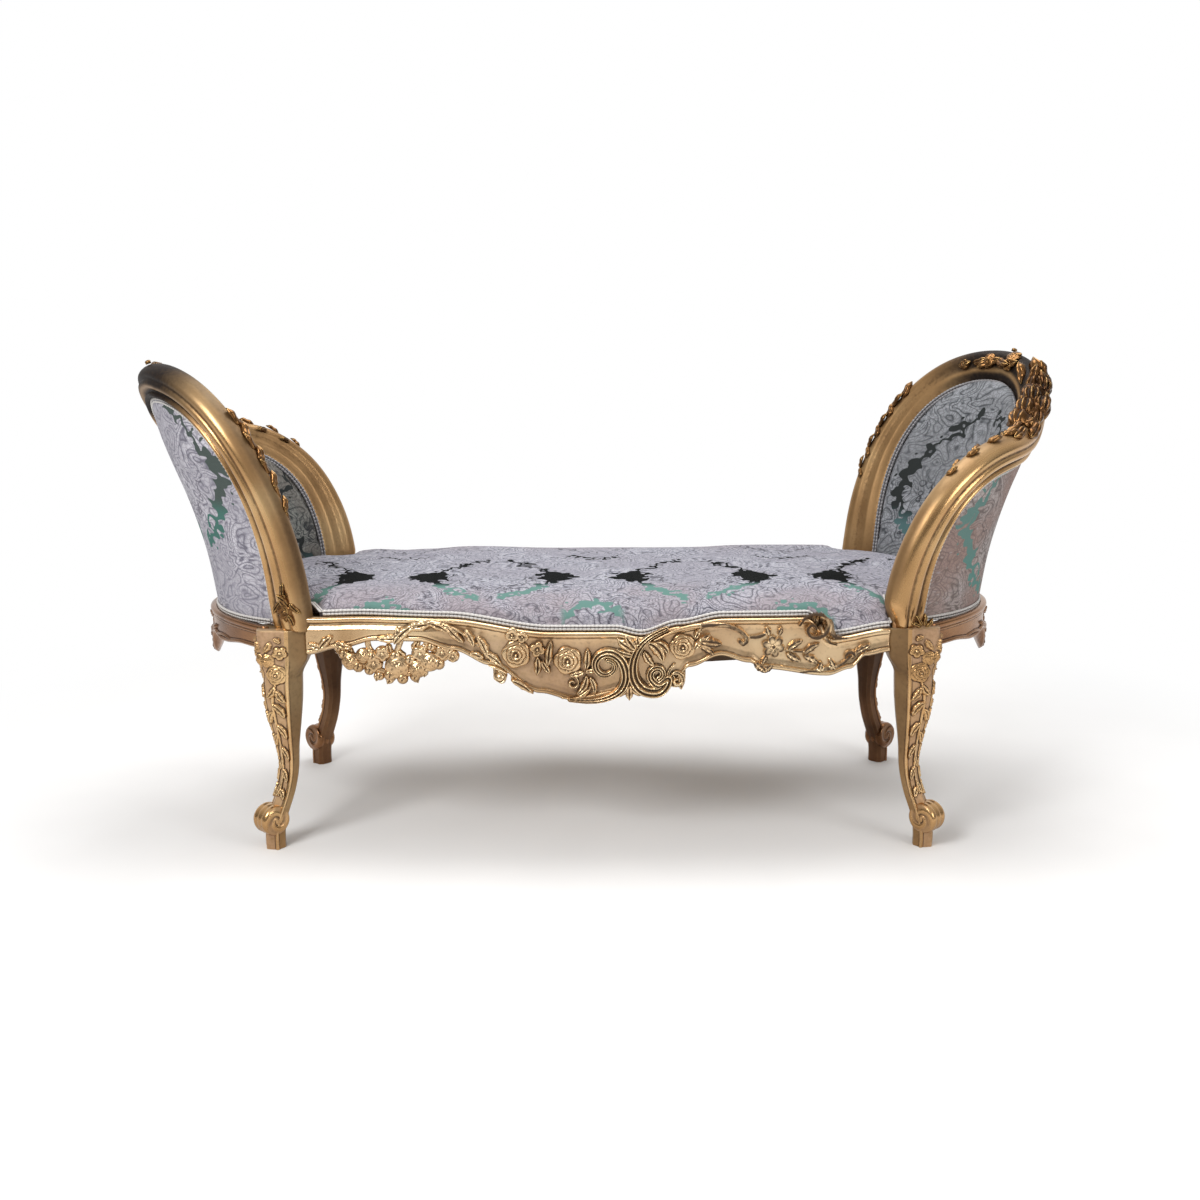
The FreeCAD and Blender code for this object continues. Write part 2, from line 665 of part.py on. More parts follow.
def back_slab(inner, outer):
    """The space between two surfaces, given as offsets from the middle surface at (y, z)."""
    far, near = [[[slab_point(offset, y, z) for y in depths] for z in levels]
                 for offset in (outer, inner)]
    faces = []

    def four_sided(a, b, c, d):
        faces.append(Part.Face(polygon([a, b, c])))
        faces.append(Part.Face(polygon([a, c, d])))

    for i in range(len(levels) - 1):
        for j in range(len(depths) - 1):
            four_sided(far[i][j], far[i][j + 1], far[i + 1][j + 1], far[i + 1][j])
            four_sided(near[i][j], near[i][j + 1], near[i + 1][j + 1], near[i + 1][j])
        for j in (0, -1):
            four_sided(far[i][j], near[i][j], near[i + 1][j], far[i + 1][j])
    for i in (0, -1):
        for j in range(len(depths) - 1):
            four_sided(far[i][j], near[i][j], near[i][j + 1], far[i][j + 1])
    shell = Part.makeShell(faces)
    shell.sewShape()
    solid = Part.Solid(shell)
    solid.fix(0.001, 0.001, 0.001)
    if solid.Volume < 0:
        solid.reverse()
    return solid


def back_layer(name, inner, outer, bottom):
    """A layer of the panel, trimmed where it meets the frame."""
    layer = back_slab(inner, outer).common(panel_prism(0.97, bottom)).cut(frame_shapes)
    return formed(name, max(layer.Solids, key=lambda solid: solid.Volume))


def webbing_side(y, z):
    return size("hessian") + size("clearance") - size("back_rebate")


def webbing_back(y, z):
    return size("clearance") - size("back_rebate")


def stuffing_back(y, z):
    return -size("back_rebate")


def stuffing_face(y, z):
    edge = 10
    return -size("back_rebate") - edge - (size("back_stuffing") - edge) * crown(y, z)


def cover_back(y, z):
    return stuffing_face(y, z) - size("clearance")


def cover_face(y, z):
    return cover_back(y, z) - size("cloth")


def outside_back(y, z):
    """The outside cover stands further out towards the end rail."""
    side = ease((size("leg_block_face_y") - 20 - abs(y)) / 90)
    return size("back_outside") + 12 * ease((640 - z) / 220) * side


def outside_face(y, z):
    return outside_back(y, z) + size("cloth")


def tacking_back(y, z):
    return webbing_side(y, z) + size("clearance")


def tacking_face(y, z):
    return tacking_back(y, z) + size("tacking_thickness")


back_bottom = size("rail_ledge_height") + 2 * size("webbing_thickness") + size("clearance")
layers = [
    ("back_hessian", back_layer("BackHessian", webbing_back, webbing_side, back_bottom)),
    ("inside_stuffing", back_layer("InsideStuffing", stuffing_face, stuffing_back, back_bottom)),
    ("inside_cover", back_layer("InsideCover", cover_face, cover_back, back_bottom)),
    ("outside_cover", back_layer("OutsideCover", outside_back, outside_face, size("end_rail_top"))),
]
for label, layer in layers:
    keep(layer, "right_" + label)
    half_turned(layer, "left_" + label)

tacking_block = Part.makeBox(400, 600, size("tacking_height"), Vector(450, -300, back_bottom))
tacking_slab = back_slab(tacking_back, tacking_face).common(panel_prism(0.97, back_bottom))
tacking_rail = keep(formed("TackingRail", tacking_slab.common(tacking_block).cut(frame_shapes)),
                    "right_tacking_rail")
half_turned(tacking_rail, "left_tacking_rail")


# Gimp of the bowed back: a flat braid over the tacks, on both faces along the frame.


def edge_braid(face, away, cover):
    """A strip just inside the frame's fabric edge, on the cover's surface."""
    width, thickness = size("gimp_width"), size("gimp_thickness")
    rings = []
    for share in frame_stations:
        middle, across, _ = arch_frame(share)
        ring = []
        for beyond, rise in ((width, 0), (0, 0), (0, thickness), (width, thickness)):
            spot = middle - across * (frame_width(share) / 2 + size("clearance") + beyond)
            spot.z = max(spot.z, size("end_rail_top") + size("clearance"))
            reach = slab_reach(face, spot.y, spot.z) + away * (size("clearance") + rise)
            ring.append(Vector(reach, spot.y, spot.z))
        rings.append(ring)
    braid = faceted(rings, False).cut(frame_shapes + [cover])
    return max(braid.Solids, key=lambda solid: solid.Volume)


covers = dict(layers)
for label, braid in (("inside_gimp", edge_braid(cover_face, -1, covers["inside_cover"].Shape)),
                     ("outside_gimp", edge_braid(outside_face, 1, covers["outside_cover"].Shape))):
    keep(formed(label.title().replace("_", ""), braid), "right_" + label)
    half_turned(nodes[-1], "left_" + label)


# Seat: webbing on the ledges of the rails, hessian, crowned stuffing and a cover.


def bow(first, middle, last, count):
    """Points on the arc through three points, the last one left out."""
    arc = Part.Arc(first, middle, last)
    return [arc.value(arc.FirstParameter + (arc.LastParameter - arc.FirstParameter) * i / count)
            for i in range(count)]


def seat_ring(height, inset):
    """The seat's outline: bowed long sides, a step at each post and a round end."""
    corner = (size("seat_corner_x") - inset, size("seat_corner_y") - inset)
    post = (size("seat_corner_x") + 4 - inset, size("seat_corner_y") - 11 - inset)
    notch = (size("leg_block_inner_x") - 2 - inset, size("leg_block_back_y") - 1 - 0.8 * inset)
    waist = (size("seat_waist_x") - inset, size("seat_waist_y") - 0.7 * inset)
    end, front = size("seat_end_reach") - inset, size("seat_front_y") - inset

    def at(point, side_x, side_y):
        return Vector(side_x * point[0], side_y * point[1], height)

    points = []
    for side in (1, -1):
        points += bow(at(corner, -side, -side), Vector(0, -side * front, height),
                      at(corner, side, -side), 8)
        points += [at(corner, side, -side), at(post, side, -side), at(notch, side, -side)]
        points += bow(at(waist, side, -side), Vector(side * end, 0, height),
                      at(waist, side, side), 6)
        points += [at(waist, side, side), at(notch, side, side), at(post, side, side)]
    return points


seat_base = size("rail_ledge_height") + 2 * size("webbing_thickness")
crown_height, shoulder = size("seat_crown_height"), size("seat_shoulder")


def seat_form(bottom, crown_top, inset):
    """Upright sides, a rounded shoulder and a low crown."""
    rings = [(bottom, inset)]
    for reach in (0, 10, 40, 120):
        drop = shoulder * (1 - reach / 120) ** 3
        rings.append((crown_top - drop, inset + reach))
    return faceted([seat_ring(height, step) for height, step in rings])


hessian_sheet = Part.Face(polygon(seat_ring(seat_base, 0))).extrude(Vector(0, 0, size("hessian")))
keep(formed("SeatHessian", hessian_sheet), "seat_hessian")
stuffing_shape = seat_form(seat_base + size("hessian"), crown_height - size("cloth"), size("cloth"))
keep(formed("SeatStuffing", stuffing_shape), "seat_stuffing")
cover_shape = seat_form(seat_base + size("hessian"), crown_height, 0).cut(stuffing_shape)
keep(formed("SeatCover", cover_shape), "seat_cover")


def webbing_strips():
    """Strips from rail to rail, crossed by long strips on top."""
    width, thick, pitch = size("webbing_width"), size("webbing_thickness"), size("webbing_pitch")
    base, tack = size("rail_ledge_height"), size("lip_thickness") + 4
    count, long_count = int(size("webbing_count")), int(size("long_webbing_count"))
    strips = []
    for i in range(count):
        x = (i - (count - 1) / 2) * pitch
        half = rail_face(abs(x) + width / 2) - tack
        strips.append(Part.makeBox(width, 2 * half, thick, Vector(x - width / 2, -half, base)))
    for i in range(long_count):
        y = (i - (long_count - 1) / 2) * pitch
        half = end_rail_face(abs(y) + width / 2) - tack
        strips.append(Part.makeBox(2 * half, width, thick, Vector(-half, y - width / 2, base + thick)))
    return strips


keep(formed("SeatWebbing", Part.makeCompound(webbing_strips())), "seat_webbing")


def seat_braid(count=22):
    """The gimp along the foot of the seat cover, on the rail's top edge."""
    width, thickness, reach = size("gimp_width"), size("gimp_thickness"), size("seat_corner_x") - 6
    lift = 2 * size("clearance")
    rings = []
    for i in range(count + 1):
        x = reach * (2 * i / count - 1)
        face = rail_face(x) - size("lip_thickness")
        foot = height_at(rail_top_line, x)
        rings.append([Vector(x, -(face + y), foot + z) for y, z in
                      ((0, lift), (thickness, lift), (thickness, width), (0, width))])
    return faceted(rings)


front_braid = seat_braid().cut(front_rail.Shape)
back_braid = front_braid.copy()
back_braid.rotate(Vector(0, 0, 0), Vector(0, 0, 1), 180)
keep(formed("SeatGimp", Part.makeCompound([front_braid, back_braid])), "seat_gimp")


# Hidden joinery under the seat: two cross bearers and four screwed corner blocks.


def padded(name, outline, base, height):
    """A pad of the outline, whose corners, base and height are all expressions."""
    body = document.addObject("PartDesign::Body", name)
    sketch = body.newObject("Sketcher::SketchObject", name + "Outline")
    plane = next(item for item in body.Origin.OriginFeatures if item.Role == "XY_Plane")
    sketch.AttachmentSupport = [(plane, "")]
    sketch.MapMode = "FlatFace"
    sketch.setExpression("AttachmentOffset.Base.z", base)
    count = len(outline)
    ring = [Vector(100 * math.cos(2 * math.pi * i / count), 100 * math.sin(2 * math.pi * i / count), 0)
            for i in range(count)]
    for i in range(count):
        sketch.addGeometry(Part.LineSegment(ring[i], ring[(i + 1) % count]))
    for i in range(count):
        sketch.addConstraint(Sketcher.Constraint("Coincident", i, 2, (i + 1) % count, 1))
        for axis, start, expression in (("X", ring[i].x, outline[i][0]), ("Y", ring[i].y, outline[i][1])):
            index = sketch.addConstraint(Sketcher.Constraint("Distance" + axis, -1, 1, i, 1, start))
            sketch.setExpression(f"Constraints[{index}]", expression)
    pad = body.newObject("PartDesign::Pad", name + "Pad")
    pad.Profile = sketch
    pad.setExpression("Length", height)
    return body


bearer_base = "Sizes.rail_ledge_height - Sizes.bearer_sag - Sizes.bearer_height"
bearers = []
for side in (-1, 1):
    inner = f"{side} * (Sizes.bearer_x - Sizes.bearer_width / 2)"
    outer = f"{side} * (Sizes.bearer_x + Sizes.bearer_width / 2)"
    half = ("(Sizes.rail_face_y - Sizes.rail_thickness + Sizes.rail_bow * (1 - ((Sizes.bearer_x"
            " + Sizes.bearer_width / 2) / Sizes.leg_block_inner_x) ^ 2))")
    bearers.append(padded(f"Bearer{side + 1}", [(inner, "-" + half), (outer, "-" + half),
                                                (outer, half), (inner, half)],
                          bearer_base, "Sizes.bearer_height"))
group("seat_bearers", bearers)

block_base = "Sizes.rail_ledge_height - Sizes.bearer_sag - Sizes.corner_block_height"
corner_blocks, screws = [], []
for side_x in (-1, 1):
    for side_y in (-1, 1):
        name = f"{side_x + 1}{side_y + 1}"
        inner_x, back_y = "Sizes.leg_block_inner_x", "Sizes.leg_block_back_y"
        rail_back = "(Sizes.rail_face_y - Sizes.rail_thickness)"
        outline = [(inner_x, rail_back),
                   (f"({inner_x} - Sizes.corner_block_length)", f"({rail_back})"),
                   (f"({inner_x} - Sizes.corner_block_length)", f"({back_y} + 4)"),
                   (f"({inner_x} + 0.6 * Sizes.corner_block_length)", f"({back_y} - 26)"),
                   (f"({inner_x} + Sizes.corner_block_length)", back_y), (inner_x, back_y)]
        corner_blocks.append(padded("CornerBlock" + name,
                                    [(f"{side_x} * {x}", f"{side_y} * {y}") for x, y in outline],
                                    block_base, "Sizes.corner_block_height"))
        for step, x in enumerate((f"({inner_x} - 0.6 * Sizes.corner_block_length)",
                                  f"({inner_x} + 0.45 * Sizes.corner_block_length)")):
            screw_y = rail_back if step == 0 else back_y
            screws.append(peg(f"Screw{name}{step}",
                              (f"{side_x} * {x}", f"{side_y} * {screw_y}",
                               f"{block_base} + Sizes.corner_block_height / 2"),
                              Vector(0, side_y, 0), "Sizes.screw_radius", "Sizes.screw_length"))
document.recompute()
group("corner_blocks", corner_blocks)
group("corner_screws", screws)

document.recompute()
for item in nodes:
    bad = [word for word in ("Invalid", "Error") if word in item.State]
    if bad or item.Shape.isNull() or not item.Shape.isValid():
        raise RuntimeError(f"{item.Label} did not build")
os.makedirs("parts", exist_ok=True)
for item in nodes:
    item.Shape.exportStep(f"parts/{item.Label}.step")
    print(item.Label, round(item.Shape.Volume / 1000), "cm3", len(item.Shape.Solids), "solids")
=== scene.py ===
import math
from functools import partial

import bmesh
import bpy
import numpy as np
from mathutils import Matrix, Vector


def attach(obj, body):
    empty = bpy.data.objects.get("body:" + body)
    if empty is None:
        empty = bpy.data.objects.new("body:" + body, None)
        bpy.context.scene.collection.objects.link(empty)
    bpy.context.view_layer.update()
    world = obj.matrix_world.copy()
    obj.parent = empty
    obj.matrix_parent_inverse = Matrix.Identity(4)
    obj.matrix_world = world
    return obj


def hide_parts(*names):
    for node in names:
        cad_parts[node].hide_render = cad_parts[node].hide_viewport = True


# A gilded double-ended bench in the Louis XV manner, covered in silk damask.
# Shapes are worked out in millimetres and made in metres. One end is modelled and the
# other is the same piece after half a turn, as the real bench is.

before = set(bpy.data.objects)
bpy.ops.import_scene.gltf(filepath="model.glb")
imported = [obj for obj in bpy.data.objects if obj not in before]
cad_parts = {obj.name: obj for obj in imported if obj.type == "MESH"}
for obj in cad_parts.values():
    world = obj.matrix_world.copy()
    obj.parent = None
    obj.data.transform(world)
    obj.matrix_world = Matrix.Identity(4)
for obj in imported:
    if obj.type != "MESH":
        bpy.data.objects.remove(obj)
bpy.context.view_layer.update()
print("frame loaded:", len(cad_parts), "nodes")


def linear(hexColour):
    values = [int(hexColour[i:i + 2], 16) / 255 for i in (1, 3, 5)]
    return [v / 12.92 if v <= 0.04045 else ((v + 0.055) / 1.055) ** 2.4 for v in values] + [1.0]


def ease(t):
    t = np.clip(t, 0.0, 1.0)
    return t * t * (3 - 2 * t)


def evenly(line, count):
    run = np.concatenate([[0], np.cumsum(np.linalg.norm(np.diff(line, axis=0), axis=1))])
    stops = np.linspace(0, run[-1], count)
    return np.stack([np.interp(stops, run, line[:, i]) for i in range(line.shape[1])], axis=1)


def throughPoints(points, count):
    # natural cubic line through the points, sampled evenly along its length
    p = np.array(points, float)
    t = np.concatenate([[0], np.cumsum(np.linalg.norm(np.diff(p, axis=0), axis=1))])
    h, n = np.diff(t), len(p)
    system, pull = np.eye(n), np.zeros_like(p)
    for i in range(1, n - 1):
        system[i, i - 1:i + 2] = h[i - 1], 2 * (h[i - 1] + h[i]), h[i]
        pull[i] = 6 * ((p[i + 1] - p[i]) / h[i] - (p[i] - p[i - 1]) / h[i - 1])
    m = np.linalg.solve(system, pull)
    s = np.linspace(0, t[-1], count * 4)
    k = np.clip(np.searchsorted(t, s, side="right") - 1, 0, n - 2)
    u, hk = (s - t[k])[:, None], h[k][:, None]
    fine = (m[k] * (hk - u) ** 3 + m[k + 1] * u ** 3) / (6 * hk)
    fine += (p[k] / hk - m[k] * hk / 6) * (hk - u) + (p[k + 1] / hk - m[k + 1] * hk / 6) * u
    return evenly(fine, count)


def eased(knots, x):
    # height of the eased line through the (x, height) knots
    xs, hs = np.array([k[0] for k in knots], float), np.array([k[1] for k in knots], float)
    k = np.clip(np.searchsorted(xs, x, side="right") - 1, 0, len(xs) - 2)
    return hs[k] + (hs[k + 1] - hs[k]) * ease((x - xs[k]) / (xs[k + 1] - xs[k]))


def hump(distance, width):
    # a soft rounded rise
    return np.exp(-(distance / width) ** 2)


def roll(distance, middle, half):
    # a half-round moulding
    return np.sqrt(np.clip(1 - ((distance - middle) / half) ** 2, 0, 1))


def unit(v):
    return v / np.maximum(np.linalg.norm(v, axis=-1, keepdims=True), 1e-9)


def laidGrid(uCount, vCount, place):
    # a grid is laid over a form, closed where its edges meet; place gives the spots in mm, and
    # where it also gives two amounts they are the size wash and the painted shade
    sheet = bmesh.new()
    bmesh.ops.create_grid(sheet, x_segments=uCount, y_segments=vCount, size=0.5)
    mesh = bpy.data.meshes.new("grid")
    sheet.to_mesh(mesh)
    sheet.free()
    co = np.empty(len(mesh.vertices) * 3, np.float32)
    mesh.vertices.foreach_get("co", co)
    co = co.reshape(-1, 3)
    u, v = ((co[:, i] - co[:, i].min()) / (co[:, i].max() - co[:, i].min()) for i in (0, 1))
    spots = place(u.astype(float), v.astype(float))
    wash = paintedShade = None
    if isinstance(spots, tuple):
        spots, wash, paintedShade = (*spots, None)[:3]
    mesh.vertices.foreach_set("co", (spots * 0.001).astype(np.float32).ravel())
    laid = bmesh.new()
    laid.from_mesh(mesh)
    bpy.data.meshes.remove(mesh)
    for mark, amounts in (("wash", wash), ("paintedShade", paintedShade)):
        layer = laid.verts.layers.float.new(mark)
        if amounts is not None:
            for vertex, amount in zip(laid.verts, amounts):
                vertex[layer] = amount
    bmesh.ops.remove_doubles(laid, verts=laid.verts, dist=2e-6)
    gaps = [edge for edge in laid.edges if edge.is_boundary]
    if gaps:
        bmesh.ops.holes_fill(laid, edges=gaps, sides=0)
    bmesh.ops.recalc_face_normals(laid, faces=laid.faces)
    return laid


def roundBack(ring, front, rest, path, face, depth, z):
    # the last steps of each ring run round the back of a rail along path: step, height, depth in
    over = np.clip(ring - front, 0, rest)
    for (s0, z0, d0), (s1, z1, d1) in zip(path, path[1:]):
        t = np.clip((over - s0) / (s1 - s0), 0, 1)
        here = (ring > front) & (over >= s0) & (over <= s1)
        z = np.where(here, z0 + (z1 - z0) * t, z)
        depth = np.where(here, face - (d0 + (d1 - d0) * t), depth)
    return depth, z


def markHollows(mesh, passes=2):
    # how hollow (+) or proud (-) the surface is at each point, in 1/mm: it sets the glaze and
    # painted shade in hollows and the painted highlight on proud parts
    count = len(mesh.vertices)
    co, lean = np.empty(count * 3, np.float32), np.empty(count * 3, np.float32)
    ends = np.empty(len(mesh.edges) * 2, np.int32)
    mesh.vertices.foreach_get("co", co)
    mesh.vertex_normals.foreach_get("vector", lean)
    mesh.edges.foreach_get("vertices", ends)
    co, lean, ends = co.reshape(-1, 3) * 1000, lean.reshape(-1, 3), ends.reshape(-1, 2)
    a, b = ends[:, 0], ends[:, 1]
    across = co[b] - co[a]
    square = np.maximum((across ** 2).sum(1), 0.05)
    rise = np.bincount(a, 2 * (across * lean[a]).sum(1) / square, count)
    rise += np.bincount(b, -2 * (across * lean[b]).sum(1) / square, count)
    meets = np.maximum(np.bincount(a, minlength=count) + np.bincount(b, minlength=count), 1)
    hollow = rise / meets
    for _ in range(passes):
        near = np.bincount(a, hollow[b], count) + np.bincount(b, hollow[a], count)
        hollow = 0.5 * hollow + 0.5 * near / meets
    layer = mesh.attributes.new("hollow", "FLOAT", "POINT")
    layer.data.foreach_set("value", np.clip(hollow, -1, 1).astype(np.float32))


def enter(name, mesh, nodes):
    # a finished mesh becomes a piece of the bench, which stands for the CAD nodes
    mesh.name = name
    piece = bpy.data.objects.new(name, mesh)
    bpy.context.scene.collection.objects.link(piece)
    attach(piece, "root")
    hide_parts(*nodes)
    return piece


def dressed(name, mesh, material, nodes, hollows=True):
    mesh.materials.clear()
    mesh.materials.append(material)
    mesh.shade_smooth()
    if hollows:
        markHollows(mesh)
    return enter(name, mesh, nodes)


def present(name, parts, material, nodes, hollows=True):
    # several laid forms make one piece
    whole = bmesh.new()
    for part in parts:
        mesh = bpy.data.meshes.new("part")
        part.to_mesh(mesh)
        part.free()
        whole.from_mesh(mesh)
        bpy.data.meshes.remove(mesh)
    mesh = bpy.data.meshes.new(name)
    whole.to_mesh(mesh)
    whole.free()
    return dressed(name, mesh, material, nodes, hollows)


def turned(name, source, nodes, material=None):
    # the same piece after half a turn, for the other end of the bench
    mesh = source.data.copy()
    mesh.transform(Matrix.Rotation(math.pi, 4, "Z"))
    if material:
        mesh.materials[0] = material
    return enter(name, mesh, nodes)


def addNode(tree, kind, feeds=(), stops=(), **settings):
    # a node with its settings, its ramp's stops, and its inputs fed by place or by name
    node = tree.nodes.new("ShaderNode" + kind)
    for key, value in settings.items():
        setattr(node, key, value)
    for key, value in feeds.items() if isinstance(feeds, dict) else enumerate(feeds):
        if isinstance(value, bpy.types.Node):
            value = value.outputs[2 if value.bl_idname == "ShaderNodeMix" else 0]
        if isinstance(value, bpy.types.NodeSocket):
            tree.links.new(value, node.inputs[key])
        else:
            node.inputs[key].default_value = value
    while stops and len(node.color_ramp.elements) < len(stops):
        node.color_ramp.elements.new(0.5)
    for i, (place, colour) in enumerate(stops):
        node.color_ramp.elements[i].position = place
        node.color_ramp.elements[i].color = linear(colour)
    return node


def blank(name):
    material = bpy.data.materials.new(name)
    material.use_nodes = True
    material.node_tree.nodes.clear()
    return material, partial(addNode, material.node_tree)


# the palest colour is a painted highlight on proud parts; the two darkest are glaze with painted
# shade over it in the hollows, and painted shade
giltLook = {
    "leaf": "#C09868", "leafPale": "#DAB988", "leafDeep": "#98734A", "paintedHighlight": "#F6E4BC",
    "glazeAndShade": "#2C1A10", "paintedShade": "#180E08", "wash": "#B4947B", "washDark": "#84694F",
}


def giltWood(name, look):
    # water gilding on carved beech: burnished leaf over warm bole, with a dark glaze and painted
    # shade in the hollows, a painted highlight on proud edges, and a grey-pink size wash on the
    # sunk grounds
    material, add = blank(name)
    spot = add("TexCoord").outputs["Object"]
    cloud = add("TexNoise", {"Vector": spot, "Scale": 8.0, "Detail": 2.5})
    fine = add("TexNoise", {"Vector": spot, "Scale": 160.0, "Detail": 3.0})
    leaf = add("ValToRGB", [cloud], [(0.25, look["leafDeep"]), (0.5, look["leaf"]),
                                     (0.8, look["leafPale"])])
    hollow, wash, paintedShade = (add("Attribute", attribute_name=mark).outputs["Fac"]
                           for mark in ("hollow", "wash", "paintedShade"))
    uneven = add("MapRange", (fine, 0.3, 0.7, -0.03, 0.03))
    lumpy = add("Math", (hollow, uneven), operation="ADD")
    # proud parts take a painted highlight, sunk ones the glaze with painted shade
    proud = add("MapRange", (lumpy, -0.12, -0.5, 0.0, 0.6))
    sunk = add("MapRange", (lumpy, 0.01, 0.15, 0.0, 0.93))
    bright = add("Mix", {0: proud, 6: leaf, 7: linear(look["paintedHighlight"])}, data_type="RGBA")
    chalk = add("ValToRGB", [fine], [(0.25, look["washDark"]), (0.65, look["wash"])])
    washed = add("MapRange", (wash, 0.0, 1.0, 0.0, 0.7))
    keep = add("Math", (washed, proud), operation="SUBTRACT", use_clamp=True)
    ground = add("Mix", {0: keep, 6: bright, 7: chalk}, data_type="RGBA")
    glazedAndShaded = add("Mix", {0: sunk, 6: ground, 7: linear(look["glazeAndShade"])}, data_type="RGBA")
    # painted shade given by the piece, as down the free edges; at the top of the ends it is old
    # glaze with painted shade and a painted dark reflection over it
    paintedShade = add("Math", (paintedShade, uneven), operation="ADD", use_clamp=True)
    glazedAndShaded = add("Mix", {0: paintedShade, 6: glazedAndShaded, 7: linear(look["paintedShade"])}, data_type="RGBA")
    dull = add("Math", (sunk, keep), operation="MAXIMUM")
    dull = add("Math", (dull, paintedShade), operation="MAXIMUM")
    tooled = add("TexNoise", {"Vector": spot, "Scale": 420.0, "Detail": 2.0})
    bump = add("Bump", {"Height": tooled, "Strength": 0.12, "Distance": 0.0008})
    surface = add("BsdfPrincipled", {
        "Base Color": glazedAndShaded, "Specular IOR Level": 0.22, "Normal": bump,
        "Metallic": add("MapRange", (dull, 0.0, 1.0, 0.92, 0.12)),
        "Roughness": add("MapRange", (dull, 0.0, 1.0, 0.24, 0.6))})
    add("OutputMaterial", {"Surface": surface})
    return material


seatLook = {
    "repeat": 0.366, "rise": 0.62,          # the damask's repeat across and along, metres
    "bulk": 0.22,                           # how far the dark side marks swell
    "ground": "#828592", "silk": "#B1B2BC", "line": "#36353F", "pink": "#A39191",
    "dark": "#070A0A", "teal": "#648780",
}
# the back covers are copies of the seat's damask: the two inside covers darker as painted shade,
# the left outside cover lighter as painted light
shadedInsideLook = dict(seatLook, bulk=0.05, ground="#6F7378", silk="#979A9F", line="#232529",
                  pink="#77706E", dark="#2F3232", teal="#506B6C")
shadedLeftInsideLook = dict(shadedInsideLook, ground="#5E6664", silk="#858884", pink="#6E5A50")
outsideLook = dict(seatLook, bulk=0.04, ground="#8B8887", silk="#B2AEAD", line="#5A5150",
                   pink="#8F7268", dark="#64827D", teal="#5F857F")
litLeftOutsideLook = dict(seatLook, bulk=0.05, ground="#94939E", silk="#C2C0C8", line="#5A5764",
                       pink="#A0969A", dark="#4C5552", teal="#4A7068")


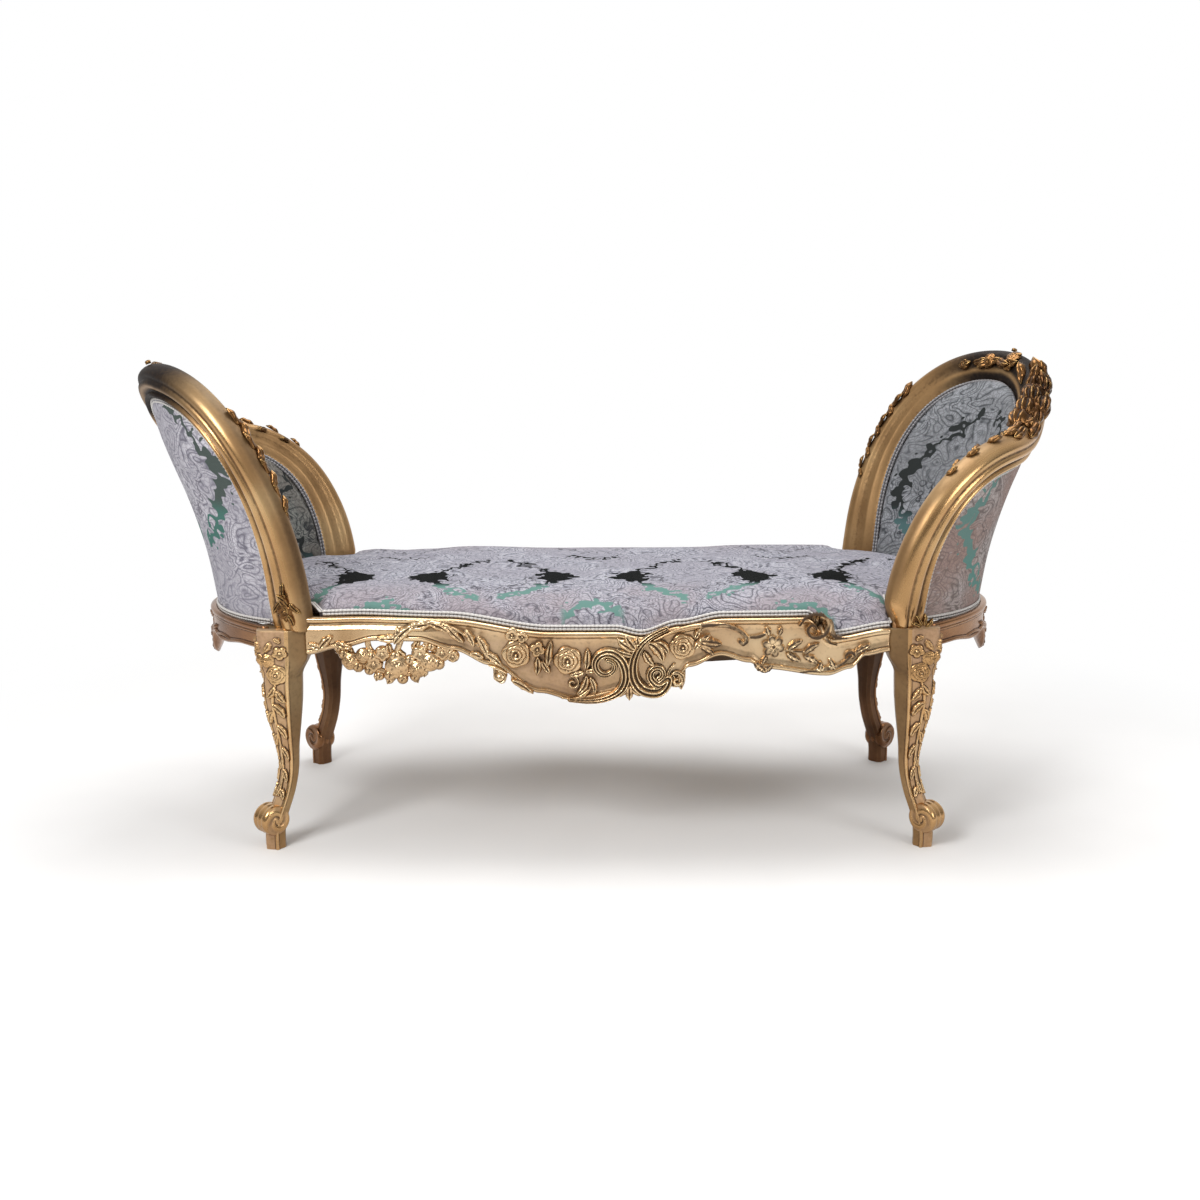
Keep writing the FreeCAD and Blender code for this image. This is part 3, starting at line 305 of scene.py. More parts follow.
def damask(name, look, axes, centre, rose, slope=0.0):
    # woven silk damask: pale foliage in ogee medallions, with dark green and teal grounds beside
    # them; axes are the cloth's own two directions and centre the middle of one medallion
    material, add = blank(name)
    colour = {key: linear(shade) for key, shade in look.items() if str(shade).startswith("#")}
    soft = {"interpolation_type": "SMOOTHSTEP"}
    split = add("SeparateXYZ", [add("TexCoord").outputs["Object"]])
    part = dict(zip("XYZ", split.outputs))
    along = part[axes[1]]
    if slope:
        # on the seat's rounded edge the cloth runs down as well as outwards
        down = add("MapRange", (part["Z"], 0.462, 0.40, 0.0, slope * 0.062), clamp=False)
        outwards = add("Math", [along], operation="SIGN")
        along = add("Math", (down, outwards, along), operation="MULTIPLY_ADD")
    flat = add("CombineXYZ", (part[axes[0]], along))
    flat = add("VectorMath", (flat, (-centre[0], -centre[1], 0)), operation="ADD")
    # curls: every drawn edge is scalloped by small swayed cells
    sway = add("TexNoise", {"Vector": flat, "Scale": 34.0, "Detail": 1.0}).outputs["Color"]
    shift = add("VectorMath", (sway, (0.024, 0.024, 0.0)), operation="MULTIPLY")
    curled = add("VectorMath", (flat, shift), operation="ADD")
    lobes = add("TexVoronoi", {"Vector": curled, "Scale": 62.0, "Smoothness": 0.3},
                feature="SMOOTH_F1")
    petals = add("TexVoronoi", {"Vector": curled, "Scale": 104.0})
    wide = add("TexNoise", {"Vector": flat, "Scale": 6.5, "Detail": 3.0})
    # scrolling foliage: feathered bands that follow a swaying field, with small petals on them
    swirl = add("TexNoise", {"Vector": flat, "Scale": 17.0, "Detail": 1.6, "Distortion": 0.9})
    bands = add("Math", (swirl, 13.0), operation="MULTIPLY")
    bands = add("Math", (bands, 0.5), operation="PINGPONG")
    small = add("TexVoronoi", {"Vector": curled, "Scale": 150.0}, feature="DISTANCE_TO_EDGE")
    drawn = add("Math", (add("MapRange", (bands, 0.13, 0.03, 0.0, 0.8), **soft),
                         add("MapRange", (small, 0.13, 0.02, 0.0, 0.5), **soft)),
                operation="MAXIMUM")
    dense = add("MapRange", (wide, 0.38, 0.62, 0.6, 1.0), **soft)
    drawn = add("Math", (drawn, dense), operation="MULTIPLY")
    blush = rose
    if slope:
        fromMiddle = add("Math", [part[axes[1]]], operation="ABSOLUTE")
        blush = add("MapRange", (fromMiddle, 0.12, 0.27, rose * 0.3, rose), **soft)
    patchy = add("MapRange", (wide, 0.62, 0.42, 0.35, 1.0), **soft)
    blush = add("Math", (blush, patchy), operation="MULTIPLY")
    cloth = colour["ground"]
    for share, over in ((add("MapRange", (bands, 0.02, 0.42, 0.0, 1.0), **soft), "silk"),
                        (add("MapRange", (wide, 0.6, 0.4, 0.0, 0.5), **soft), "ground"),
                        (blush, "pink"), (drawn, "line"),
                        (add("MapRange", (petals, 0.3, 0.05, 0.0, 0.45), **soft), "silk")):
        cloth = add("Mix", {0: share, 6: cloth, 7: colour[over]}, data_type="RGBA")

    matt = 0.0
    for middleRow in (False, True):
        moved = (look["repeat"] / 2, look["rise"] / 2, 0) if middleRow else (0, 0, 0)
        cell = add("SeparateXYZ", [add("VectorMath", (flat, moved), operation="ADD")])
        u, v = (add("Math", (cell.outputs[i], size / 2, -size / 2), operation="WRAP")
                for i, size in enumerate((look["repeat"], look["rise"])))
        side, up = (add("Math", (add("Math", [way], operation="ABSOLUTE"), size),
                        operation="DIVIDE")
                    for way, size in ((u, 0.33 * look["repeat"]), (v, 0.24 * look["rise"])))
        bowed = [add("Math", (way, 1.5), operation="POWER") for way in (side, up)]
        reach = add("Math", (add("Math", bowed, operation="ADD"), 1 / 1.5), operation="POWER")
        ragged = add("Math", (lobes, 0.3, reach), operation="MULTIPLY_ADD")
        if middleRow:
            # only the two tips of the middle row are drawn: a teal arch and a small dark heart
            width = add("MapRange", (v, 0.0, 0.06, 0.025, 0.075), **soft)
            edge = 1.16
            low = add("MapRange", (v, 0.0, 0.05, 0.0, 1.0), **soft)
            shown = add("MapRange", (side, 0.5, 0.36, 0.0, 1.0), **soft)
        else:
            # black crescents at the sides, a thin line over the top, teal below
            level = add("Math", (v, 0.004), operation="SUBTRACT")
            level = add("Math", [level], operation="ABSOLUTE")
            swell = add("MapRange", (level, 0.055, 0.012, 0.0, 1.0), **soft)
            below = add("MapRange", (v, -0.03, -0.07, 0.05, 0.08), **soft)
            width = add("Math", (swell, look["bulk"], below), operation="MULTIPLY_ADD")
            edge = 1.12
            low = add("MapRange", (v, -0.045, -0.085, 0.0, 1.0), **soft)
            shown = add("MapRange", (side, 0.1, 0.16, 0.0, 1.0), **soft)
        off, ring = (add("Math", [add("Math", (ragged, size), operation="SUBTRACT")],
                         operation="ABSOLUTE") for size in (edge, 0.78))
        marked = add("Math", (width, off), operation="SUBTRACT")
        marked = add("MapRange", (marked, -0.006, 0.006, 0.0, 1.0), **soft)
        marked = add("Math", (marked, shown), operation="MULTIPLY")
        ink = add("Mix", {0: low, 6: colour["dark"], 7: colour["teal"]}, data_type="RGBA")
        cloth = add("Mix", {0: marked, 6: cloth, 7: ink}, data_type="RGBA")
        matt = add("Math", (matt, marked), operation="MAXIMUM")
        # a smaller ring of petals inside the medallion
        ring = add("Math", (add("MapRange", (ring, 0.035, 0.012, 0.0, 0.8), **soft),
                            add("MapRange", (v, 0.03, -0.01, 0.0, 1.0), **soft)),
                   operation="MULTIPLY")
        cloth = add("Mix", {0: ring, 6: cloth, 7: colour["line"]}, data_type="RGBA")
    # the foliage stands up 0.6 mm, over a weave of 1.2 mm, three times the real thread
    weave = add("TexWave", {"Vector": flat, "Scale": 260.0}, bands_direction="DIAGONAL")
    raised = add("Math", (drawn, -1.6, weave.outputs["Fac"]), operation="MULTIPLY_ADD")
    # the dark satin ground reflects less than the raised silk
    surface = add("BsdfPrincipled", {
        "Base Color": cloth, "Roughness": 0.7, "Sheen Roughness": 0.4,
        "Specular IOR Level": add("MapRange", (matt, 0.0, 1.0, 0.18, 0.03)),
        "Sheen Weight": add("MapRange", (matt, 0.0, 1.0, 0.06, 0.0)),
        "Normal": add("Bump", {"Height": raised, "Strength": 0.45, "Distance": 0.0008})})
    add("OutputMaterial", {"Surface": surface})
    return material


def braidCloth(name, light, middle, dark):
    # silver-white gimp: looped cord sewn to a band, lighter on the loops and darker in the gaps
    # between them as painted highlight and painted shade
    material, add = blank(name)
    hollow = add("Attribute", attribute_name="hollow").outputs["Fac"]
    colour = add("ValToRGB", [add("MapRange", (hollow, -0.25, 0.25))],
                 [(0.3, light), (0.5, middle), (0.66, dark)])
    spot = add("TexCoord").outputs["Object"]
    thread = add("TexNoise", {"Vector": spot, "Scale": 900.0, "Detail": 2.0})
    bump = add("Bump", {"Height": thread, "Strength": 0.4, "Distance": 0.0004})
    surface = add("BsdfPrincipled", {"Base Color": colour, "Roughness": 0.6, "Normal": bump})
    add("OutputMaterial", {"Surface": surface})
    return material


def plainWood(name, light, dark):
    # sawn beech, unpolished, with 3 mm flecks along the grain
    material, add = blank(name)
    spot = add("TexCoord").outputs["Object"]
    stretch = add("Mapping", {"Vector": spot, "Scale": (30.0, 300.0, 300.0)})
    grain = add("TexNoise", {"Vector": stretch, "Scale": 1.0, "Detail": 5.0})
    colour = add("ValToRGB", [grain], [(0.35, dark), (0.65, light)])
    surface = add("BsdfPrincipled", {"Base Color": colour, "Roughness": 0.7})
    add("OutputMaterial", {"Surface": surface})
    return material


def sacking(name, light, dark, pitch):
    # plain woven jute or hair cloth, threads drawn at the given pitch in metres
    material, add = blank(name)
    spot = add("TexCoord").outputs["Object"]
    one, two = (add("TexWave", {"Vector": spot, "Scale": 0.314 / pitch},
                    bands_direction=way).outputs["Fac"] for way in ("X", "Y"))
    both = add("Math", (one, two), operation="MULTIPLY")
    colour = add("ValToRGB", [both], [(0.1, dark), (0.6, light)])
    bump = add("Bump", {"Height": both, "Strength": 0.4, "Distance": 0.0006})
    surface = add("BsdfPrincipled", {"Base Color": colour, "Roughness": 0.9, "Normal": bump})
    add("OutputMaterial", {"Surface": surface})
    return material


def bluedSteel(name):
    # turned steel screws, blued and slightly rusted: dull metal with 3 mm grey mottling
    material, add = blank(name)
    mottle = add("TexNoise", {"Vector": add("TexCoord").outputs["Object"], "Scale": 300.0})
    colour = add("ValToRGB", [mottle], [(0.3, "#5E5A55"), (0.7, "#8C8780")])
    surface = add("BsdfPrincipled", {"Base Color": colour, "Metallic": 0.9, "Roughness": 0.45})
    add("OutputMaterial", {"Surface": surface})
    return material


gilt = giltWood("burnishedGiltBeech", giltLook)
# a paler copy of the gilt: painted light on the long rails, their carving and the garlands
litGilt = giltWood("litGiltBeech", dict(giltLook, leaf="#CCAC84", leafPale="#E6CFA8",
                                           leafDeep="#A58158"))
# a darker copy of the gilt: painted shade on the back legs, and a darker gold on the end rails
giltDeep = giltWood("toneGiltBeech", dict(giltLook, leaf="#8A6243", leafPale="#A87E58",
                                          leafDeep="#5E3F28", paintedHighlight="#D9BC8C"))
# a darker copy for the crest carving: painted shade and a painted dark reflection
shadedCrestGilt = giltWood("shadedCrestGiltBeech", dict(giltLook, leaf="#6F4E2E", leafPale="#977044",
                                            leafDeep="#3A2617", paintedHighlight="#CDA96C",
                                            glazeAndShade="#150C07"))
steel = bluedSteel("bluedSteelScrew")
beech = plainWood("sawnBeech", "#B98F63", "#94693F")
jute = sacking("juteHessian", "#A98F68", "#6C5536", 0.0022)
hair = sacking("hairStuffing", "#5B4A3A", "#32281F", 0.003)
band = sacking("herringboneWebbing", "#8E7A58", "#564527", 0.0026)
braid = braidCloth("silverGimp", "#C6C3C0", "#A7A29E", "#4C4846")
# a darker copy of the gimp: painted shade inside the backs
shadedBraid = braidCloth("shadedGimp", "#8C8A8C", "#747275", "#353437")
print("materials made")


# the bowed back of the right end, in mm
backShape = {
    "bow": 0.0029,
    # how far out it lies at each height, and the line of the frame across the bench and up
    "lean": [(691, 405), (707, 490), (735, 575), (768, 660), (798, 745), (817, 830)],
    "arch": [(-235, 405), (-238, 480), (-238, 570), (-226, 634), (-192, 682), (-135, 700),
             (-72, 714), (-20, 752), (30, 796), (85, 824), (140, 829), (190, 812), (228, 768),
             (247, 708), (252, 630), (246, 545), (238, 470), (235, 405)],
    "stileWidth": 78, "crestWidth": 58,
}
leanLine = throughPoints(backShape["lean"], 400)
archLine = throughPoints(backShape["arch"], 1200)
archStops = np.linspace(0, 1, len(archLine))


def backReach(y, z):
    return np.interp(z, leanLine[:, 1], leanLine[:, 0]) - backShape["bow"] * y * y


def backNormal(y, z):
    slope = (backReach(y, z + 2) - backReach(y, z - 2)) / 4
    return unit(np.stack([np.ones_like(y), 2 * backShape["bow"] * y, -slope], axis=-1))


def archSpot(share):
    y = np.interp(share, archStops, archLine[:, 0])
    z = np.interp(share, archStops, archLine[:, 1])
    return np.stack([backReach(y, z), y, z], axis=-1)


def archFrame(share):
    # middle of the frame, across towards its free edge, and outwards
    middle = archSpot(share)
    along = unit(archSpot(np.minimum(1, share + 0.004)) - archSpot(np.maximum(0, share - 0.004)))
    upright = np.stack([0 * share, 0 * share, np.where(share < 0.5, 1.0, -1.0)], axis=-1)
    blend = ease(1 - np.minimum(share, 1 - share) / 0.02)[..., None]
    along = unit(along * (1 - blend) + upright * blend)
    out = backNormal(middle[..., 1], middle[..., 2])
    out = unit(out - along * (out * along).sum(-1, keepdims=True))
    return middle, unit(np.cross(out, along)), out


def frameHalf(share):
    narrow, wide = backShape["crestWidth"] / 2, backShape["stileWidth"] / 2
    return narrow + (wide - narrow) * ease(1 - np.minimum(share, 1 - share) / 0.3)


# the frame's moulded section: (across in half widths, out in mm), fabric edge at -1
sectionPoints = [(-1, -18), (-1, 12), (-0.95, 17), (-0.84, 20), (-0.73, 19), (-0.64, 14),
                 (-0.55, 13), (-0.44, 17), (-0.28, 23), (-0.1, 25.5), (0.08, 24.5), (0.19, 20),
                 (0.27, 20.5), (0.42, 22.5), (0.62, 21), (0.8, 16), (0.93, 9), (1, 1), (0.98, -9),
                 (0.88, -17), (0.72, -21), (0.45, -22.5), (0.15, -20), (-0.1, -21), (-0.35, -23),
                 (-0.6, -21), (-0.82, -18.5), (-1, -18)]


def frameSweep():
    stileHalf = backShape["stileWidth"] / 2
    outline = evenly(np.array(sectionPoints, float) * [stileHalf, 1], 76) / [stileHalf, 1]
    steps = np.linspace(0, 1, len(outline))

    def place(u, v):
        middle, across, out = archFrame(u)
        a = np.interp(v, steps, outline[:, 0])
        o = np.interp(v, steps, outline[:, 1])
        foot = ease(1 - np.minimum(u, 1 - u) / 0.05)
        a = np.where(a > 0, a * (0.45 + 0.55 * ease(u / 0.04)), a)   # the low post's narrow foot
        o = o * (1 - 0.12 * foot)
        spots = middle + across * (a * frameHalf(u))[:, None] + out * o[:, None]
        # painted shade along the quirks of the moulding, beside the cloth, down the free edge and
        # over the back; over the whole top of the arch it is old glaze with painted shade and dark
        # reflection
        quirk = 0.85 * hump(a + 0.59, 0.06) + 0.5 * hump(a - 0.23, 0.05)
        quirk = np.maximum(quirk * (o > 0), 0.8 * hump(a + 1, 0.05))
        edge = 0.75 * hump(a - 1, 0.1) * ease((u - 0.34) / 0.06)
        top = ease((u - 0.43) / 0.04) * ease((0.72 - u) / 0.13) * (1 - 0.5 * hump(a + 0.3, 0.15))
        # painted shade: both posts darken towards their free edge
        tall = 0.6 * ease((a - 0.55) / 0.45) * ease((u - 0.6) / 0.06)
        low = 0.5 * ease((a - 0.82) / 0.18) * ease((0.42 - u) / 0.04) * ease((u - 0.03) / 0.05)
        return spots, 0 * u, np.maximum.reduce([quirk, edge, top, tall, low, 0.35 * (o < 0)])

    return laidGrid(260, 76, place)


rightFrame = present("rightFrame", [frameSweep()], gilt,
                     ["right_low_stile", "right_crest_rail", "right_tall_stile"])
turned("leftFrame", rightFrame, ["left_low_stile", "left_crest_rail", "left_tall_stile"])
print("end frames made")


# relief: ridges, leaves and roses as heights over a carver's flat drawing

def nearLine(x, z, line):
    # distance from a drawn line, share along it and side of it, for every point
    best = np.full(x.shape, 1e9)
    share, side = np.zeros_like(x), np.zeros_like(x)
    pieces = len(line) - 1
    for i in range(pieces):
        (ax, az), (bx, bz) = line[i], line[i + 1]
        dx, dz = bx - ax, bz - az
        t = np.clip(((x - ax) * dx + (z - az) * dz) / (dx * dx + dz * dz), 0, 1)
        px, pz = x - ax - t * dx, z - az - t * dz
        d = np.hypot(px, pz)
        nearer = d < best
        best = np.where(nearer, d, best)
        share = np.where(nearer, (i + t) / pieces, share)
        side = np.where(nearer, np.sign(dx * pz - dz * px), side)
    return best, share, side


def curl(cx, cz, r0, r1, a0, a1, count=26):
    turn = np.radians(np.linspace(a0, a1, count))
    radius = r0 * (r1 / r0) ** np.linspace(0, 1, count)
    return np.stack([cx + radius * np.cos(turn), cz + radius * np.sin(turn)], axis=1)


def scroll(x, z, line, width, rise, taper=(0.4, 1.0, 0.5), reeds=1):
    if len(line) < 20:
        line = throughPoints(line, 3 * len(line))
    d, share, side = nearLine(x, z, line)
    first, middle, last = taper
    half = width / 2 * (first + (middle - first) * ease(2 * share)
                        + (last - middle) * ease(2 * share - 1))
    q = d / half
    body = np.sqrt(np.clip(1 - q ** 2.4, 0, 1))
    if reeds > 1:
        body = body * (0.8 + 0.2 * np.cos(math.pi * (reeds * side * q + 1 - reeds % 2)))
    return rise * body * np.sqrt(half / (width / 2))


def leaf(x, z, start, end, width, rise, bend=0.0, lobes=3):
    (ax, az), (bx, bz) = start, end
    nx, nz = -(bz - az), bx - ax
    mid = ((ax + bx) / 2 + nx * bend, (az + bz) / 2 + nz * bend)
    t = np.linspace(0, 1, 14)[:, None]
    a, m, b = np.array(start, float), np.array(mid), np.array(end, float)
    line = a * (1 - t) ** 2 + m * (2 * t * (1 - t)) + b * t ** 2
    d, share, side = nearLine(x, z, line)
    swept = np.clip(share - 0.10 * d / width, 0, 1)
    half = width / 2 * np.sin(math.pi * np.clip(swept, 0.001, 0.999) ** 0.8) ** 0.75
    half = half * (1 - 0.2 * np.abs(np.cos(lobes * math.pi * swept))) + 0.3
    q = d / half
    body = np.sqrt(np.clip(1 - q ** 3, 0, 1)) * (1 - 0.3 * hump(q, 0.2))
    return rise * body * (1 - 0.06 * np.cos(lobes * 2 * math.pi * swept + 2.2 * q))


def blossom(x, z, cx, cz, radius, rise, petals=5, spin=0.3):
    dx, dz = x - cx, z - cz
    r, turn = np.hypot(dx, dz) / radius, np.arctan2(dz, dx)
    edge = 0.62 + 0.38 * np.abs(np.cos(petals / 2 * (turn + spin))) ** 0.6
    cup = np.sqrt(np.clip(1 - (r / edge) ** 4, 0, 1)) * (0.45 + 0.55 * np.clip(r / edge, 0, 1))
    eye = 0.9 * np.exp(-(r / 0.22) ** 4)
    return rise * np.maximum(cup * (r < edge), eye * 1.1)


def roseBud(x, z, cx, cz, radius, rise):
    # a full rose: three rounds of overlapping petals about a wound heart
    dx, dz = x - cx, z - cz
    r, turn = np.hypot(dx, dz) / radius, np.arctan2(dz, dx)
    total = np.zeros_like(x)
    for size, count, lift, spin in ((1.0, 5, 0.55, 0.0), (0.72, 5, 0.8, 0.6), (0.42, 3, 1.0, 1.1)):
        step = ((turn + spin) * count / (2 * math.pi)) % 1.0
        edge = size * (0.88 + 0.12 * np.sin(math.pi * step))
        q = r / edge
        petal = np.sqrt(np.clip(1 - q ** 6, 0, 1)) * (0.55 + 0.45 * q ** 2) * (0.82 + 0.18 * step)
        total = np.where(q < 1, np.maximum(total * (q > 0.93) * 0.6, lift * petal), total)
    heart = 1.0 * np.exp(-(r / 0.14) ** 4)
    return rise * np.maximum(total, heart)


def ball(x, z, cx, cz, radius, rise):
    return rise * np.sqrt(np.clip(1 - ((x - cx) ** 2 + (z - cz) ** 2) / radius ** 2, 0, 1))


def carved(drawing, x, z):
    # the highest of all the forms in a drawing, each given as its maker's own values
    makers = {"scrolls": scroll, "leaves": leaf, "blossoms": blossom, "roses": roseBud,
              "balls": ball}
    return np.maximum.reduce([makers[kind](x, z, *form) for kind, forms in drawing.items()
                              for form in forms])


# the long rails, in mm from the middle and from the floor
railShape = {
    "half": 508, "face": 257, "bow": 33, "thickness": 32, "lip": 9, "ledge": 404,
    # the eased lines of its upper and lower edge
    "top": [(-508, 430), (-400, 434), (-262, 432), (-80, 409), (30, 409), (75, 400), (140, 418),
            (215, 431), (360, 430), (405, 393), (508, 406)],
    "bottom": [(-508, 363), (-450, 376), (-385, 391), (-310, 391), (-250, 376), (-185, 350),
               (-100, 301), (-40, 287), (70, 306), (130, 316), (158, 346), (212, 365), (262, 352),
               (285, 340), (400, 325), (440, 336), (465, 358), (508, 364)],
}


def railFace(x):
    share = np.clip(np.abs(x) / railShape["half"], 0, 1)
    return railShape["face"] + railShape["bow"] * (1 - share * share)


def railRelief(x, z, top, bottom):
    down, up = top - z, z - bottom
    left = ease((-250 - x) / 60)                     # the plain gilded stretch over the garland
    right = ease((x - 230) / 60)
    h = 4.0 * roll(down, 5, 5)                                       # top roll
    h += left * 4.5 * ease((down - 13) / 10) * ease((up - 2) / 12)   # swollen plain face
    h += 5.5 * roll(up, 5, 5)                                        # bottom rim
    h -= 2.0 * (1 - left) * ease((down - 9) / 12) * ease((up - 8) / 12)     # sunk ground
    # smooth gold by the left scroll
    plain = ease((down - 20) / 12) * ease((x + 260) / 40) * ease((20 - x) / 30)
    wash = (1 - left) * (0.75 - 0.45 * right) * ease((down - 9) / 6)
    wash = wash * ease((up - 8) / 5) * (0.45 + 0.55 * plain)
    return h * ease(up / 3) * ease(down / 1.5), wash


# the carver's drawing of the apron
railCarving = {
    # line, width, rise, widths at start, middle and end, reeds
    "scrolls": [
        # the two great C-scrolls, three reeds each, back to back
        ([(17, 360), (25, 357), (29, 348), (22, 338), (9, 335), (-3, 345), (-4, 360), (5, 371),
          (20, 374), (36, 366), (46, 348), (48, 330), (41, 311), (22, 297), (-8, 289),
          (-49, 291)], 21, 17, (0.5, 1.0, 0.45), 3),
        ([(104, 326), (112, 334), (108, 345), (95, 344), (90, 334), (96, 322), (108, 318),
          (120, 326), (112, 310), (94, 304), (74, 311), (61, 333), (61, 358), (71, 383),
          (90, 402), (117, 416)], 25, 18, (0.5, 1.0, 0.45), 3),
        ([(96, 394), (130, 411), (168, 420), (205, 421), (235, 415), (251, 404), (257, 394),
          (252, 386), (245, 391)], 10, 9, (0.7, 1.0, 0.9)),
        ([(254, 400), (270, 398), (288, 403), (298, 410)], 9, 7, (0.6, 1.0, 0.4)),
        ([(134, 327), (128, 333), (134, 338), (145, 333), (146, 322), (136, 316), (124, 320),
          (122, 338), (132, 352)], 10, 10, (0.6, 1.0, 0.5), 2),
        (curl(-44, 320, 3, 12, 0, 420), 6, 10),
        ([(-10, 326), (-16, 308), (-34, 295), (-62, 294)], 10, 8),
        # stems of the left spray
        ([(-343, 384), (-334, 402), (-318, 417), (-290, 430)], 9, 10),
        ([(-290, 430), (-250, 418), (-212, 392), (-190, 372)], 6, 9),
        ([(318, 374), (345, 371), (374, 371)], 5, 8),
        # the comma-shaped scroll that closes the high part of the rail on the right
        ([(376, 412), (371, 418), (362, 412), (366, 400), (380, 396), (393, 405), (398, 420),
          (390, 434), (372, 438), (356, 430), (348, 418)], 11, 16, (0.6, 1.0, 0.5)),
        ([(386, 432), (400, 424), (403, 408), (410, 397), (430, 393)], 12, 14, (0.8, 1.0, 0.4)),
        ([(384, 418), (388, 404), (398, 388), (414, 380)], 10, 12, (0.6, 1.0, 0.3)),
        ([(352, 333), (390, 338), (420, 344), (440, 360)], 10, 8),
        (curl(440, 360, 11, 4, 200, -60), 8, 11),
        # small volutes hang under the edge on the left and on the right
        (curl(-169, 330, 12, 4, 100, -260), 7, 15),
        ([(-158, 338), (-172, 346), (-188, 352)], 8, 10),
        (curl(136, 324, 13, 3, 120, -300), 8, 14),
    ],
    # start, tip, width, rise, bend, lobes
    "leaves": [
        ((86, 392), (112, 357), 26, 13, 0.3), ((80, 376), (97, 351), 17, 10, -0.2),
        ((98, 392), (122, 370), 18, 10, 0.3), ((66, 378), (34, 399), 20, 12, 0.15, 2),
        ((66, 380), (48, 406), 20, 13, 0.1, 2), ((70, 380), (66, 404), 16, 11, -0.1, 2),
        ((62, 370), (32, 380), 15, 10, 0.2, 2), ((54, 318), (28, 298), 20, 10, 0.15, 2),
        ((54, 318), (54, 290), 18, 11, 0, 2), ((54, 318), (80, 300), 20, 10, -0.15, 2),
        ((-104, 366), (-106, 334), 18, 11, 0.1, 2), ((-96, 360), (-82, 338), 16, 10, -0.1, 2),
        ((-86, 352), (-80, 396), 17, 12, 0.05, 2), ((-20, 346), (-18, 382), 17, 12, -0.05, 2),
        ((-24, 340), (-50, 334), 14, 8, 0.1), ((-22, 340), (2, 342), 13, 9, 0.1),
        ((-20, 334), (-38, 300), 17, 10, 0.3), ((-14, 330), (-6, 300), 13, 8, 0.2),
        ((-352, 388), (-315, 422), 21, 12, 0.15), ((-338, 400), (-384, 398), 19, 10, 0.1),
        ((-342, 392), (-346, 418), 16, 9, 0.1), ((-328, 420), (-284, 428), 22, 11, -0.15),
        ((-296, 428), (-256, 410), 19, 12, 0.1), ((-262, 424), (-230, 392), 18, 12, -0.1),
        ((-228, 414), (-213, 384), 16, 12, 0.1), ((-206, 402), (-190, 366), 18, 12, 0.1),
        ((-196, 374), (-166, 352), 17, 10, 0.1), ((-222, 372), (-196, 364), 15, 8, 0.1),
        ((-484, 376), (-460, 400), 19, 11, 0.1), ((-478, 376), (-506, 386), 17, 9, 0.1),
        ((-458, 388), (-426, 380), 19, 9, -0.1), ((166, 380), (194, 404), 18, 11, 0.1),
        ((174, 394), (214, 388), 21, 13, -0.1), ((168, 398), (178, 416), 13, 10, 0.1),
        ((176, 384), (200, 369), 17, 11, 0.1), ((296, 400), (290, 416), 12, 8),
        ((312, 400), (318, 414), 11, 8), ((292, 364), (284, 350), 12, 8),
        ((328, 374), (354, 390), 15, 10, 0.1), ((326, 368), (352, 354), 16, 10, -0.1),
        ((356, 366), (384, 384), 14, 9, 0.1), ((356, 362), (382, 349), 16, 10, 0.1),
        ((270, 354), (290, 336), 17, 11), ((302, 348), (286, 335), 13, 8),
        ((384, 332), (388, 352), 13, 9), ((412, 336), (402, 356), 14, 9),
        ((446, 364), (474, 380), 15, 9), ((-150, 326), (-112, 302), 16, 10, 0.1),
        ((142, 330), (144, 308), 14, 10),
    ],
    # middle, radius, rise, petals, spin
    "blossoms": [(-104, 380, 15, 11, 4), (-147, 406, 14, 10, 3, 0.6), (-130, 402, 12, 9, 4, 0.2),
                 (303, 381, 21, 12, 6)],
    "roses": [(-141, 371, 26, 16), (-52, 360, 26, 17), (146, 383, 24, 15)],
    "balls": [(-169, 330, 12, 14)],
}


def carvedRun(fromX, toX, across, up, over=14):
    # one stretch of carving: it stands on the face of the rail and may hang over its edges
    def place(u, v):
        x = fromX + (toX - fromX) * u
        top, bottom = eased(railShape["top"], x), eased(railShape["bottom"], x)
        share = np.where(v < 0.95, v / 0.95, (1 - v) / 0.05)
        z = bottom - 22 + (top - bottom + 22 + over) * share
        h = np.where((v < 0.95) & (u > 0) & (u < 1), carved(railCarving, x, z), 0)
        held = np.clip(z, bottom + 3, top - 3)
        ground = railRelief(x, held, top, bottom)[0]
        stands = h > 0.5
        depth = railFace(x) + np.where(stands, np.maximum(ground, 0) * 0.5 + h, -4)
        depth = np.where(v < 0.95, depth, railFace(x) - 7)
        return np.stack([x, -depth, np.where(stands, z, held)], axis=1), 0.25 * (h < 4)

    return laidGrid(across, up, place)


def longRail():
    front, rest = 66, 14            # rows on the carved face, and round the back

    def place(u, v):
        x = (2 * u - 1) * railShape["half"]
        top, bottom = eased(railShape["top"], x), eased(railShape["bottom"], x)
        face = railFace(x)
        ledge = np.minimum(railShape["ledge"], top - 12)
        ring = v * (front + rest)
        share = np.clip(ring / front, 0, 1)
        z = bottom + (top - bottom) * share
        relief, wash = railRelief(x, z, top, bottom)
        lip, deep = railShape["lip"], railShape["thickness"]
        path = [(0, top, 0), (3, top, lip), (6, ledge, lip), (8, ledge, deep),
                (11, bottom + 2, deep), (rest, bottom, 0)]
        depth, z = roundBack(ring, front, rest, path, face, face + relief, z)
        return np.stack([x, -depth, z], axis=1), np.where(ring > front, 0, wash)

    return laidGrid(480, front + rest, place)


